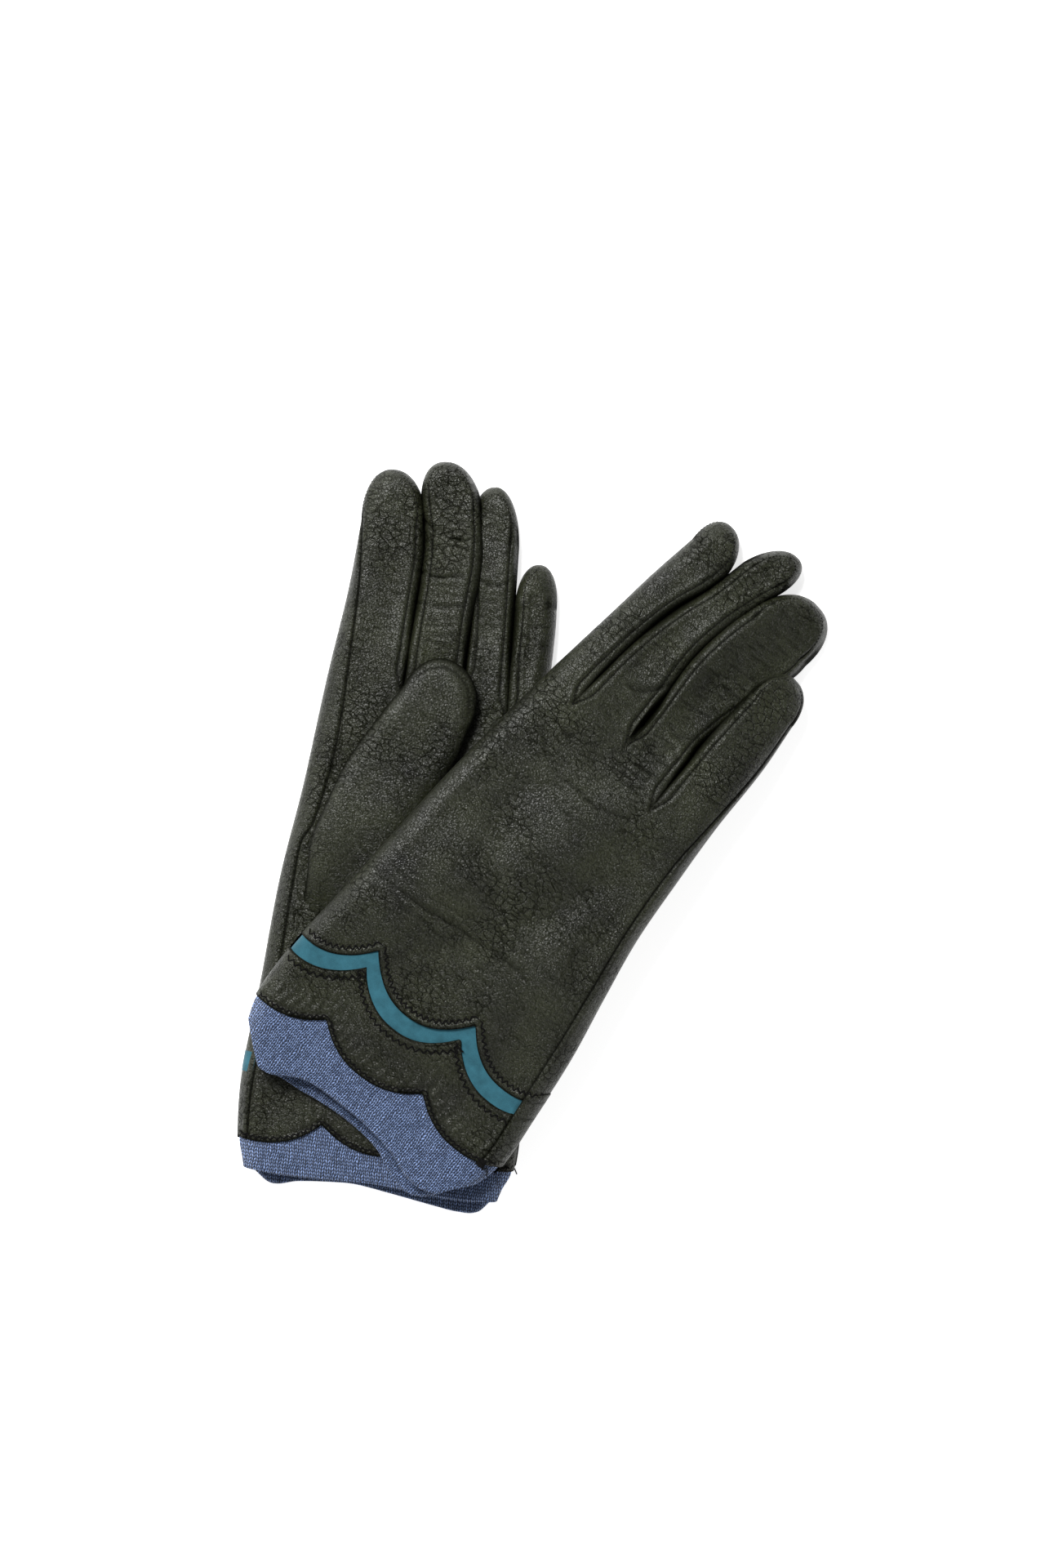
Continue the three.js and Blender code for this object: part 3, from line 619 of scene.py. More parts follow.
def weld(patches):
    """Gives every point of the patches an id, the same for points in one place, and returns the points."""
    everything = np.concatenate([p.points.reshape(-1, 3) for p in patches])
    keys = np.round(everything * WELD_STEPS).astype(np.int64)
    _, first, ids = np.unique(keys, axis=0, return_index=True, return_inverse=True)
    ids = ids.ravel()
    at = 0
    for p in patches:
        count = p.points.shape[0] * p.points.shape[1]
        p.ids = ids[at:at + count].reshape(p.points.shape[:2])
        at += count
    return everything[first]


def normals_of(points, quads):
    """Smooth normals of a mesh of quads."""
    normals = np.zeros_like(points)
    across = points[quads[:, 2]] - points[quads[:, 0]]
    along = points[quads[:, 3]] - points[quads[:, 1]]
    face = np.cross(across, along)
    for k in range(4):
        for axis in range(3):
            normals[:, axis] += np.bincount(quads[:, k], face[:, axis], len(points))
    length = np.linalg.norm(normals, axis=1, keepdims=True)
    return normals / np.maximum(length, 1e-12)


def column_shares(glove, lane, up, v, width):
    """Where the columns of a lane are at each row, as shares of its width."""
    ends = []
    for rail in (lane, lane + 1):
        if rail in (0, 4):
            seamed = glove["palm_up"] == up if rail == 0 else glove["palm_up"] != up
            factor = curve(glove["side_seam"], v) if seamed else np.ones_like(v)
            ends.append(np.outer(np.clip(factor, 0.25, 1.5), OUTER_COLUMNS))
        else:
            ends.append(np.outer(np.ones_like(v), INNER_COLUMNS))
    left, right = ends
    fit = np.minimum(1, (width - LEAST_MIDDLE) / (left[:, -1] + right[:, -1]))[:, None]
    left = left * fit
    right = width[:, None] - (right * fit)[:, ::-1]
    steps = np.linspace(0, 1, MIDDLE_COLUMNS + 2)[1:-1]
    middle = mix(left[:, -1:], right[:, :1], steps[None, :])
    return np.concatenate([left, middle, right], 1) / width[:, None]


def lower_line(glove, up):
    return BAND_HIGH if is_back(glove, up) else HEM


def lane_rows(glove, lane, up):
    """Stations of a lane's rows, from its lower line to the fingertip, and how far into the tip each is."""
    finger = glove["fingers"][lane]
    low = lower_line(glove, up)[0]
    first = np.linspace(low, COMMON_FROM, 1 + round((COMMON_FROM - low) / ROW_STEP))[:-1]
    common = np.arange(COMMON_FROM, COMMON_TO, ROW_STEP)
    own = np.linspace(COMMON_TO, finger["cap_from"], round((finger["cap_from"] - COMMON_TO) / ROW_STEP))
    into = np.minimum(np.sin(np.linspace(0, math.pi / 2, CAP_ROWS + 1))[1:], CAP_LIMIT)
    cap = mix(finger["cap_from"], finger["tip"][1], into)
    body = np.concatenate([first, common, own])
    return np.concatenate([body, cap]), np.concatenate([np.zeros(len(body)), into])


def lane_patch(glove, lane, up):
    """The grid of one lane of one face of a glove, from the cuff to the tip of its finger."""
    finger = glove["fingers"][lane]
    vees = glove["vees"][up]
    v, into = lane_rows(glove, lane, up)
    station = np.minimum(v, finger["cap_from"])
    free_from = max(max(glove["vees"][face][max(0, lane - 1):lane + 1]) for face in (True, False))
    slope = math.tan(math.radians(finger["lean"])) * ease((v - free_from) / LEAN_LENGTH)
    left, right = sides(glove, lane, station)
    reach = (right - left) / 2 * slope
    left = sides(glove, lane, station + reach)[0]
    right = sides(glove, lane, station - reach)[1]
    full = (right - left) / 2
    half = full * (1 - into**CAP_POWER) ** (1 / CAP_POWER)
    middle = mix((left + right) / 2, finger["tip"][0], into)
    share = column_shares(glove, lane, up, v, 2 * full)
    off = (share - 0.5) * 2 * half[:, None]
    x = middle[:, None] + off
    y = v[:, None] - off * slope[:, None]

    # The lowest rows follow the scalloped line.
    line = lower_line(glove, up)
    shift = (1 - np.clip((v - line[0]) / SCALLOP_REACH, 0, 1)) ** 2
    y = y + (scallop(line, x, cusp_of(glove, up)) - line[0]) * shift[:, None]
    low = v < COMMON_FROM + REFIT_REACH
    left_low, right_low = sides(glove, lane, y[low])
    x[low] = mix(left_low, right_low, share[low])

    norm = (np.abs(off / full[:, None]) ** CAP_POWER + into[:, None] ** CAP_POWER) ** (1 / CAP_POWER)
    tip = (1 - norm) * full[:, None]
    capped = into[:, None] > 0
    from_left = np.where(capped, tip, share * 2 * full[:, None])
    from_right = np.where(capped, tip, (1 - share) * 2 * full[:, None])

    def side(rail):
        if rail in (0, 4):
            return 1.0, mix(EDGE_ROUND, TIP_ROUND, ease((y - TIP_ROUND_FROM) / TIP_ROUND_LENGTH)), None
        vee = vees[rail - 1]
        depth = ease((y - vee) / (glove["openings"][rail - 1] - vee))
        return depth, mix(VEE_ROUND, SLIT_ROUND, ease((y - vee) / SLIT_LENGTH)), vee

    depth_left, round_left, vee_left = side(lane)
    depth_right, round_right, vee_right = side(lane + 1)
    near_tip = ease((v - finger["cap_from"] + NEAR_TIP) / NEAR_TIP)[:, None]
    round_l = mix(round_left, round_right, ease(share) * near_tip)
    round_r = mix(round_right, round_left, ease(1 - share) * near_tip)
    if not up:
        round_l = np.minimum(round_l, BASE_ROUND)
        round_r = np.minimum(round_r, BASE_ROUND)
    fall_left = depth_left * (1 - rounded(from_left, round_l))
    fall_right = depth_right * (1 - rounded(from_right, round_r))
    fall = np.maximum(fall_left, fall_right)
    z = curve(glove["bed"], y) + LOWER + (UPPER if up else -LOWER) * (1 - fall)
    z = z + tilt(glove, lane, share, y)

    edge_left = x - curve(glove["rails"][0], y)
    edge_right = curve(glove["rails"][4], y) - x
    edge_left = np.where(capped & (lane == 0), tip, edge_left)
    edge_right = np.where(capped & (lane == 3), tip, edge_right)
    relief, painted_shade = relief_of(glove, up, x, y, edge_left, edge_right)
    for distance, vee in ((from_left, vee_left), (from_right, vee_right)):
        if vee is not None:
            seam = slit_seam(y, vee, into[:, None])
            strength = ease((y - vee) / 3) * (1 - ease(into[:, None] / 0.5))
            relief -= 0.4 * strength * ridge(distance - seam, 0.42)
            relief += 0.22 * strength * ridge(distance - seam - 1.3, 0.8)
            # Painted shade along each slit seam and in the gap between two fingers.
            gap = ease((y - vee) / 6) * ridge(distance, 0.8) * (1 - ease(into[:, None] / 0.7))
            painted_shade = painted_shade + 0.9 * strength * ridge(distance - seam, SEAM_SHADE_WIDTH) + 0.95 * gap
    relief *= ease(1.6 * (1 - fall)) * (1 - ease((into[:, None] - 0.8) / 0.2))
    patch = Patch(lane, up, np.stack([x, y, z], -1), relief, from_left, from_right)
    patch.painted_shade = np.clip(painted_shade, 0, 1) * (1 - into[:, None] ** 3)
    return patch


def slit_seam(y, vee, into):
    """Distance of a side strip's seam from the gap between fingers."""
    return mix(SLIT_SEAM * ease((y - vee) / 9), 0.8, into)


def add_rim(patch, normals):
    """Turns a patch's first row over its edge and under, so that the leather shows its thickness; the
    turned-under rows get painted shade.
    """
    edge = patch.points[0]
    outwards = edge - patch.points[2]
    outwards /= np.linalg.norm(outwards, axis=1, keepdims=True)
    normal = normals[patch.ids[0]]
    rows = [edge + outwards * out - normal * down for out, down in reversed(RIM)]
    patch.points = np.concatenate([np.array(rows), patch.points])
    # Painted shade on the turned-under rows.
    patch.painted_shade = np.concatenate([np.full((len(rows), edge.shape[0]), 0.7), patch.painted_shade])
    patch.rim = len(RIM)


def painted_shade_of(patches, points):
    """How much painted shade the leather gets at each welded point."""
    painted_shades = np.zeros(len(points))
    for p in patches:
        painted_shades[p.ids] = p.painted_shade
    return painted_shades


@functools.cache
def skin_of(name):
    """The whole skin of a glove: its patches, points, normals and painted shade."""
    glove = LEFT if name == "left" else RIGHT
    patches = [lane_patch(glove, lane, up) for up in (True, False) for lane in range(4)]
    points = weld(patches)
    normals = normals_of(points, np.concatenate([p.quads() for p in patches]))
    for p in patches:
        p.points = p.points + normals[p.ids] * p.relief[..., None]
        p.lie_flat()
    points = weld(patches)
    normals = normals_of(points, np.concatenate([p.quads() for p in patches]))
    for p in patches:
        add_rim(p, normals)
    points = weld(patches)
    normals = normals_of(points, np.concatenate([p.quads() for p in patches]))
    return patches, points, normals, painted_shade_of(patches, points)


# ---- Meshes ----------------------------------------------------------------------------------------------


def new_object(name, glove, points, quads, material, normals=None, painted_shades=None):
    """A mesh object from points of a glove's frame, which it keeps as the attribute "grain"."""
    used, flat = np.unique(quads, return_inverse=True)
    quads = flat.reshape(quads.shape)
    points = points[used]
    mesh = bpy.data.meshes.new(name)
    mesh.vertices.add(len(points))
    mesh.vertices.foreach_set("co", to_row(glove, points).ravel())
    mesh.loops.add(quads.size)
    mesh.loops.foreach_set("vertex_index", quads.ravel().astype(np.int32))
    mesh.polygons.add(len(quads))
    mesh.polygons.foreach_set("loop_start", np.arange(0, quads.size, 4, dtype=np.int32))
    mesh.update(calc_edges=True)
    mesh.validate()
    grain = mesh.attributes.new("grain", "FLOAT_VECTOR", "POINT")
    grain.data.foreach_set("vector", points.ravel().astype(np.float32))
    # The painted shade of each point, kept for the leather's material to darken its colour by.
    if painted_shades is not None:
        painted_shade = mesh.attributes.new("painted_shade", "FLOAT", "POINT")
        painted_shade.data.foreach_set("value", painted_shades[used].astype(np.float32))
    mesh.materials.append(material)
    mesh.shade_smooth()
    if normals is not None:
        mesh.normals_split_custom_set_from_vertices(directions_to_row(glove, normals[used]).tolist())
    obj = bpy.data.objects.new(name, mesh)
    bpy.context.scene.collection.objects.link(obj)
    return obj


FINGERS = ("index", "middle", "ring", "little")


def joint_of(body):
    return next(j for j in frame["joints"] if j["child"] == body)


def finger_split(glove, lane):
    """Station below which a lane belongs to the hand: just under the finger's bend."""
    return hinge_station(glove, glove["name"] + "_" + FINGERS[lane]) - BLEND_REACH - 2


def hinge_station(glove, body):
    """Height in a glove's frame of the hinge that moves a body."""
    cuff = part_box(glove["name"] + "_knit_cuff")[0]
    hinge = joint_of(body)["pos_m"]
    dx = (hinge[0] - cuff.x) / MM - glove["from_cuff"][0]
    dy = (hinge[1] - cuff.y) / MM - glove["from_cuff"][1]
    angle = math.radians(glove["turn"])
    return dx * math.sin(angle) + dy * math.cos(angle)


def bend_with(obj, body):
    """Reads the hinge that moves a body and bakes the piece's transform into its points; it does not make the
    piece bend.
    """
    joint = joint_of(body)
    axis = np.array(joint["axis"])
    ahead = np.cross((0, 0, 1), axis)
    ahead *= np.sign(ahead[1])
    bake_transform(obj)


def split_row(patch, station):
    """The first row of a patch that lies wholly past a station."""
    heights = patch.points[patch.rim:, :, 1].mean(1)
    return patch.rim + int(np.searchsorted(heights, station))


def build_skin(glove, material):
    """The leather of a hand and its fingers, as one surface cut just under each finger's bend."""
    name = glove["name"]
    patches, points, normals, painted_shades = skin_of(name)
    hand = []
    for lane, finger in enumerate(FINGERS):
        body = f"{name}_{finger}"
        quads = []
        for patch in patches:
            if patch.lane == lane:
                row = split_row(patch, finger_split(glove, lane))
                hand.append(patch.quads(0, row + 1))
                quads.append(patch.quads(row, None))
        obj = new_object(f"{body}_leather", glove, points, np.concatenate(quads), material, normals, painted_shades)
        strips = ["back_strip", "palm_strip"]
        strips += ["left_fourchette"] if lane > 0 else []
        strips += ["right_fourchette"] if lane < 3 else []
        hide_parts(*[f"{body}_{strip}" for strip in strips])
        bend_with(obj, body)
    obj = new_object(f"{name}_hand_leather", glove, points, np.concatenate(hand), material, normals, painted_shades)
    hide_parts(f"{name}_back_panel", f"{name}_palm_panel")
    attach(obj, f"{name}_hand")


# ---- Strips across the cuff ------------------------------------------------------------------------------


def hand_surface(glove, up, x, y, depth=0.0):
    """Points on one face of the hand, at a depth under its leather."""
    left = x - curve(glove["rails"][0], y)
    right = curve(glove["rails"][4], y) - x
    radius = EDGE_ROUND if up else BASE_ROUND
    height = (UPPER if up else LOWER) - depth
    z = height * rounded(np.minimum(left, right) - depth, radius)
    return curve(glove["bed"], y) + LOWER + (z if up else -z)


def line_of(line, cusp_at, lift=0.0):
    """A scalloped line of the cuff, lifted, as a function of x."""
    return lambda x: scallop(line, x, cusp_at) + lift


def level(height):
    """A straight line across the cuff, as a function of x."""
    return lambda x: np.full_like(x, height)


def no_inset(y):
    return np.zeros_like(y)


def strip_patch(glove, up, low, high, rows, depth, columns=160, insets=(no_inset, no_inset), leather=True):
    """A strip across one face of the hand between two lines, each a function of x.

    Insets are how far its ends stay from the glove's edges, as functions of y.
    """
    share = 0.5 - 0.5 * np.cos(np.linspace(0, math.pi, columns))
    share = mix(share, np.linspace(0, 1, columns), STRIP_EVENNESS)
    ends = [curve(glove["rails"][0], CUFF_LEVEL) + insets[0](CUFF_LEVEL)]
    ends += [curve(glove["rails"][4], CUFF_LEVEL) - insets[1](CUFF_LEVEL)]
    at = mix(ends[0], ends[1], share)
    t = np.linspace(0, 1, rows)[:, None]
    y = mix(low(at)[None, :], high(at)[None, :], t)
    left = curve(glove["rails"][0], y) + depth
    right = curve(glove["rails"][4], y) - depth
    x = mix(left + insets[0](y), right - insets[1](y), share[None, :])
    patch = Patch(0, up, np.stack([x, y, hand_surface(glove, up, x, y, depth)], -1))
    if leather:
        patch.relief, patch.painted_shade = relief_of(glove, up, x, y, x - left + depth, right - x + depth)
        patch.relief *= ease(np.minimum(x - left, right - x) / 2 + 0.1)
    return patch


def displace(patches):
    """Moves the points of patches along their normals by their relief."""
    points = weld(patches)
    normals = normals_of(points, np.concatenate([p.quads() for p in patches]))
    for p in patches:
        p.points = p.points + normals[p.ids] * p.relief[..., None]
        p.lie_flat()


def edge_both_ways(patch):
    """Turns both long edges of a strip under."""
    for _ in range(2):
        points = weld([patch])
        add_rim(patch, normals_of(points, patch.quads()))
        patch.points = patch.points[::-1]
        patch.painted_shade = patch.painted_shade[::-1]
        patch.up = not patch.up


def side_seam(glove, y):
    """Distance of a side seam from its edge."""
    return SIDE_SEAM * curve(glove["side_seam"], y)


def build_cuff(glove, leather, suede):
    """The leather below the suede band on the back, the band, and where each wraps round a side."""
    name = glove["name"]
    up = not glove["palm_up"]
    hem = line_of(HEM, BACK_CUSP)
    high_tucked = line_of(BAND_HIGH, BACK_CUSP, TUCK)

    def under_seam(y):
        return side_seam(glove, y) - 1

    def wrap_start(y):
        return glove_width(glove, y) - side_seam(glove, y)

    def band_end_start(y):
        return glove_width(glove, y) - BAND_END_SHARE * side_seam(glove, y)

    cuff = strip_patch(glove, up, hem, line_of(BAND_LOW, BACK_CUSP), 30, 0, insets=(no_inset, under_seam))
    displace([cuff])
    edge_both_ways(cuff)
    wrap = strip_patch(glove, up, hem, high_tucked, 40, 0, 24, (wrap_start, no_inset))
    from_seam = wrap.points[..., 0] - wrap.points[:, :1, 0]
    wrap.relief = wrap.relief * 0.5 + WELT * (rounded(from_seam, 0.8) - 0.3)
    # Painted shade along the seam where the leather wraps round the side.
    wrap.painted_shade = np.maximum(wrap.painted_shade * 0.6, ridge(from_seam, 0.3))
    displace([wrap])
    edge_both_ways(wrap)
    pieces = [cuff, wrap]
    points = weld(pieces)
    quads = np.concatenate([p.quads() for p in pieces])
    painted_shades = painted_shade_of(pieces, points)
    obj = new_object(f"{name}_cuff_leather", glove, points, quads, leather, painted_shades=painted_shades)
    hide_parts(f"{name}_cuff_panel")
    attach(obj, f"{name}_hand")

    low_tucked = line_of(BAND_LOW, BACK_CUSP, -TUCK)
    band = strip_patch(glove, up, low_tucked, high_tucked, 14, SUEDE_DEPTH, insets=(no_inset, under_seam))
    band.relief *= 0.3
    end_low = line_of(BAND_LOW, BACK_CUSP, BAND_END_LIFT)
    end_high = line_of(BAND_HIGH, BACK_CUSP, BAND_END_LIFT)
    ends = (no_inset, band_end_start)
    band_end = strip_patch(glove, not up, end_low, end_high, 12, -BAND_END_ABOVE, 16, ends, leather=False)
    displace([band])
    pieces = [band, band_end]
    points = weld(pieces)
    obj = new_object(f"{name}_suede", glove, points, np.concatenate([p.quads() for p in pieces]), suede)
    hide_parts(f"{name}_suede_band")
    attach(obj, f"{name}_hand")


def glove_width(glove, y):
    """Width of a glove from edge to edge."""
    return curve(glove["rails"][4], y) - curve(glove["rails"][0], y)


def knit_face(glove, up, depth_in, high):
    """One wall of the knit on one face, from the cuff's end to a height above the hem."""

    def end(x):
        return curve(glove["knit_end"][up], x)

    top = line_of(HEM, cusp_of(glove, up), high)
    return strip_patch(glove, up, end, top, 20, depth_in, 120, leather=False)


def build_knit(glove, material):
    """The doubled knitted cuff: an outer and an inner wall on each face, joined by a rolled end."""
    name = glove["name"]
    patches = []
    for up in (True, False):
        outer = knit_face(glove, up, KNIT_DEPTH, 3)
        inner = knit_face(glove, up, KNIT_DEPTH + KNIT_THICKNESS, 6)
        roll = []
        for angle in np.linspace(0, math.pi, 9)[1:-1]:
            share = 0.5 - 0.5 * math.cos(angle)
            row = mix(outer.points[0], inner.points[0], share)
            row[:, 1] -= KNIT_THICKNESS / 2 * math.sin(angle)
            roll.append(row)
        points = np.concatenate([inner.points[::-1], np.array(roll[::-1]), outer.points])
        wave = 0.18 * np.sin(points[..., 0] / 5.3 + 1) * np.sin(points[..., 1] / 4.1 + points[..., 0] / 9)
        points[..., 2] += wave
        patches.append(Patch(0, up, points))
    points = weld(patches)
    quads = np.concatenate([p.quads() for p in patches])
    obj = new_object(f"{name}_knit", glove, points, quads, material)
    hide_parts(f"{name}_knit_cuff")
    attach(obj, f"{name}_hand")


def build_linings(glove, material):
    """Knitted tubes inside the leather, a little smaller than it."""
    name = glove["name"]
    patches, points, normals, _ = skin_of(name)
    inside = points - normals * LINING_DEPTH
    for lane, finger in enumerate(FINGERS):
        body = f"{name}_{finger}"
        quads = []
        for patch in patches:
            if patch.lane == lane:
                row = split_row(patch, finger_split(glove, lane))
                quads.append(coarse_quads(patch, row, patch.points.shape[0] - 6))
        obj = new_object(f"{body}_liner", glove, inside, np.concatenate(quads), material)
        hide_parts(f"{body}_lining")
        bend_with(obj, body)
    low = level(HEM[1])
    high = level(HAND_LINING_END)
    tube = [strip_patch(glove, up, low, high, 60, LINING_DEPTH, 60, leather=False) for up in (True, False)]
    tube_points = weld(tube)
    quads = np.concatenate([p.quads() for p in tube])
    obj = new_object(f"{name}_hand_liner", glove, tube_points, quads, material)
    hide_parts(f"{name}_hand_lining")
    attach(obj, f"{name}_hand")


def coarse_quads(patch, low, high):
    """Every fourth row and column of a patch, from one row to another, with the last ones kept."""
    rows = np.unique(np.append(np.arange(low, high, COARSE_STEP), high))
    columns = np.arange(0, patch.points.shape[1], COARSE_STEP)
    coarse = Patch(patch.lane, patch.up, patch.points[rows][:, columns])
    coarse.ids = patch.ids[rows][:, columns]
    return coarse.quads()


# ---- Thumbs ----------------------------------------------------------------------------------------------


def thumb_patches(glove, inset=0.0):
    """The grids of a thumb's two faces, and the stations of their rows."""
    thumb = glove["thumb"]
    length = thumb["tip"][1] - thumb["cap_from"]
    body = np.arange(thumb["root"], thumb["cap_from"], ROW_STEP)
    into = np.minimum(np.sin(np.linspace(0, math.pi / 2, CAP_ROWS + 1)), CAP_LIMIT)
    v = np.concatenate([body, thumb["cap_from"] + into * length])
    into = np.concatenate([np.zeros(len(body)), into])
    station = np.minimum(v, thumb["cap_from"])
    left, right = (curve(rail, station) for rail in thumb["rails"])
    full = (right - left) / 2
    half = full * (1 - into**CAP_POWER) ** (1 / CAP_POWER)
    middle = mix((left + right) / 2, thumb["tip"][0], into)[:, None]
    share = (0.5 - 0.5 * np.cos(np.linspace(0, math.pi, 41)))[None, :]
    off = (share - 0.5) * 2 * half[:, None]
    norm = (np.abs(off / full[:, None]) ** CAP_POWER + into[:, None] ** CAP_POWER) ** (1 / CAP_POWER)
    distance = (1 - norm) * full[:, None]
    along = np.broadcast_to(v[:, None], off.shape)
    x, y = turn_clockwise(thumb["origin"], thumb["turn"], middle + off, along)
    if glove["palm_up"]:
        floor = LOWER + UPPER + THUMB_CLEARANCE
    else:
        floor = curve(glove["bed"], y) - THUMB_HEIGHT - THUMB_CLEARANCE
    sink = THUMB_SINK * (1 - ease((v[:, None] - thumb["root"]) / THUMB_SINK_LENGTH))
    floor = floor + (-sink if glove["palm_up"] else sink)
    rise = ease((v - thumb["root"]) / THUMB_RISE)
    height = (THUMB_HEIGHT * mix(THUMB_ROOT, 1, rise))[:, None]
    patches = []
    for up in (True, False):
        bulge = (height / 2 - inset) * rounded(distance, TIP_ROUND)
        z = floor + height / 2 + (bulge if up else -bulge)
        patch = Patch(0, up, np.stack([x, y, z], -1))
        fade = ease(distance / 5)
        patch.relief = thumb_relief(v[:, None], off) * fade
        hem = ridge(distance - THUMB_SEAM, 0.4) * ease((v[:, None] - THUMB_HINGE) / 6)
        patch.relief = patch.relief - 0.25 * hem
        # Painted shadow round the thumb's outline, and painted shade along the seam round its tip.
        patch.painted_shade = np.clip(0.9 * ridge(distance, 0.9) + 0.7 * hem, 0, 1)
        patches.append(patch)
    return patches, v


def thumb_relief(v, off):
    """Ups and downs and cross folds of a thumb."""
    relief = 0.25 * np.sin(off / 5 + 1) * np.sin(v / 8.3)
    relief = relief + 0.1 * np.sin(off / 2.3 + v / 6) * np.sin(v / 3.1)
    for at, depth in THUMB_FOLDS:
        line = v - at - 1.2 * np.sin(off / 5 + at)
        relief = relief - depth * ridge(line, 0.6) * ridge(off - 3 * math.sin(at), 7)
        relief = relief + 0.35 * depth * ridge(line - 1.5, 1.0)
    return relief


def build_thumb(glove, leather, knit):
    """A thumb and its lining, in two parts where the frame has a joint in it."""
    name = glove["name"]
    patches, v = thumb_patches(glove)
    displace(patches)
    points = weld(patches)
    normals = normals_of(points, np.concatenate([p.quads() for p in patches]))
    painted_shades = painted_shade_of(patches, points)
    inner, _ = thumb_patches(glove, THUMB_INSET)
    inner_points = weld(inner)
    body = f"{name}_thumb"
    if body not in frame["bodies"]:
        quads = np.concatenate([p.quads() for p in patches])
        obj = new_object(f"{body}_leather", glove, points, quads, leather, normals, painted_shades)
        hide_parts(body)
        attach(obj, f"{name}_hand")
        inner_quads = np.concatenate([p.quads(THUMB_LINING_ROWS, -LINING_TIP_ROWS) for p in inner])
        obj = new_object(f"{body}_liner", glove, inner_points, inner_quads, knit)
        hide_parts(f"{body}_lining")
        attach(obj, f"{name}_hand")
        return
    row = int(np.searchsorted(v, THUMB_HINGE - THUMB_REACH - 1))
    parts = (("", 0, row + 1), ("_tip", row, None))
    for part, low, high in parts:
        quads = np.concatenate([p.quads(low, high) for p in patches])
        obj = new_object(f"{body}{part}_leather", glove, points, quads, leather, normals, painted_shades)
        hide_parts(f"{body}{part}")
        first = max(low, THUMB_LINING_ROWS)
        inner_quads = np.concatenate([p.quads(first, high or -LINING_TIP_ROWS) for p in inner])
        liner = new_object(f"{body}{part}_liner", glove, inner_points, inner_quads, knit)
        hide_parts(f"{body}{part}_lining")
        for piece in (obj, liner):
            if part:
                bend_with(piece, body)
            else:
                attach(piece, f"{name}_hand")


# ---- Stitches --------------------------------------------------------------------------------------------


def resample(points, normals, pitch):
    """Places along a line of points a pitch apart, with the direction and normal at each."""
    steps = np.linalg.norm(np.diff(points, axis=0), axis=1)
    run = np.concatenate([[0], np.cumsum(steps)])
    at = np.arange(pitch / 2, run[-1] - pitch / 2, pitch)
    place = np.stack([np.interp(at, run, points[:, k]) for k in range(3)], -1)
    ahead = np.stack([np.interp(at + 0.2, run, points[:, k]) for k in range(3)], -1)
    behind = np.stack([np.interp(at - 0.2, run, points[:, k]) for k in range(3)], -1)
    normal = np.stack([np.interp(at, run, normals[:, k]) for k in range(3)], -1)
    direction = ahead - behind
    direction /= np.maximum(np.linalg.norm(direction, axis=1, keepdims=True), 1e-9)
    return place, direction, normal


def stitch_mesh(place, direction, normal, length, radius):
    """Short threads with rounded ends, one at each place: their points and quads."""
    side = np.cross(normal, direction)
    side /= np.maximum(np.linalg.norm(side, axis=1, keepdims=True), 1e-9)
    up = np.cross(direction, side)
    angle = np.linspace(0, 2 * math.pi, STITCH_SIDES, endpoint=False)
    rings = []
    for along, thick in STITCH_PROFILE:
        sag = -0.9 * radius * along * along
        centre = place + direction * along * length / 2 + up * sag
        ring = (
            centre[:, None]
            + side[:, None] * (np.cos(angle) * max(thick, 0.05) * radius)[None, :, None]
            + up[:, None] * (np.sin(angle) * max(thick, 0.05) * radius)[None, :, None]
        )
        rings.append(ring)
    points = np.stack(rings, 1)
    count, levels = points.shape[:2]
    ids = np.arange(count * levels * STITCH_SIDES).reshape(count, levels, STITCH_SIDES)
    after = np.roll(ids, -1, axis=2)
    quads = np.stack([ids[:, :-1], after[:, :-1], after[:, 1:], ids[:, 1:]], -1)
    return points.reshape(-1, 3), quads.reshape(-1, 4)


def stitches_object(name, glove, lines, settings, material):
    """One object with all the stitches along some lines, each (points, normals)."""
    points, quads = [], []
    total = 0
    for line_points, line_normals in lines:
        if len(line_points) < 3:
            continue
        placed = resample(line_points, line_normals, settings.pitch / MM)
        if len(placed[0]) == 0:
            continue
        new_points, new_quads = stitch_mesh(*placed, settings.length / MM, settings.radius / MM)
        points.append(new_points)
        quads.append(new_quads + total)
        total += len(new_points)
    return new_object(name, glove, np.concatenate(points), np.concatenate(quads), material)


def seam_line(patch, normals, from_right, offset, low, high):
    """The line on a patch at a distance from one of its sides: its points and normals."""
    distance = patch.right[:, ::-1] if from_right else patch.left
    half = distance.shape[1] // 2 + 1
    rows = range(low, high)
    line, line_normals = [], []
    for r in rows:
        where = offset[r - patch.rim]
        near = distance[r - patch.rim, :half]
        row_points = patch.points[r]
        row_normals = normals[patch.ids[r]]
        if from_right:
            row_points = row_points[::-1]
            row_normals = row_normals[::-1]
        line.append([np.interp(where, near, row_points[:half, k]) for k in range(3)])
        line_normals.append([np.interp(where, near, row_normals[:half, k]) for k in range(3)])
    return np.array(line).reshape(-1, 3), np.array(line_normals).reshape(-1, 3)


def lane_seams(glove, patch):
    """The seams of a lane: (whether it's on the right, its offset at each row, first row)."""
    v, into = lane_rows(glove, patch.lane, patch.up)
    seams = []
    for from_right in (False, True):
        rail = patch.lane + (1 if from_right else 0)
        if rail in (0, 4):
            palm_side = rail == 0
            if palm_side == (glove["palm_up"] == patch.up):
                seams.append((from_right, SIDE_SEAM * curve(glove["side_seam"], v), 0))
        else:
            vee = glove["vees"][patch.up][rail - 1]
            seams.append((from_right, slit_seam(v, vee, into), int(np.searchsorted(v, vee + 1))))
    return seams


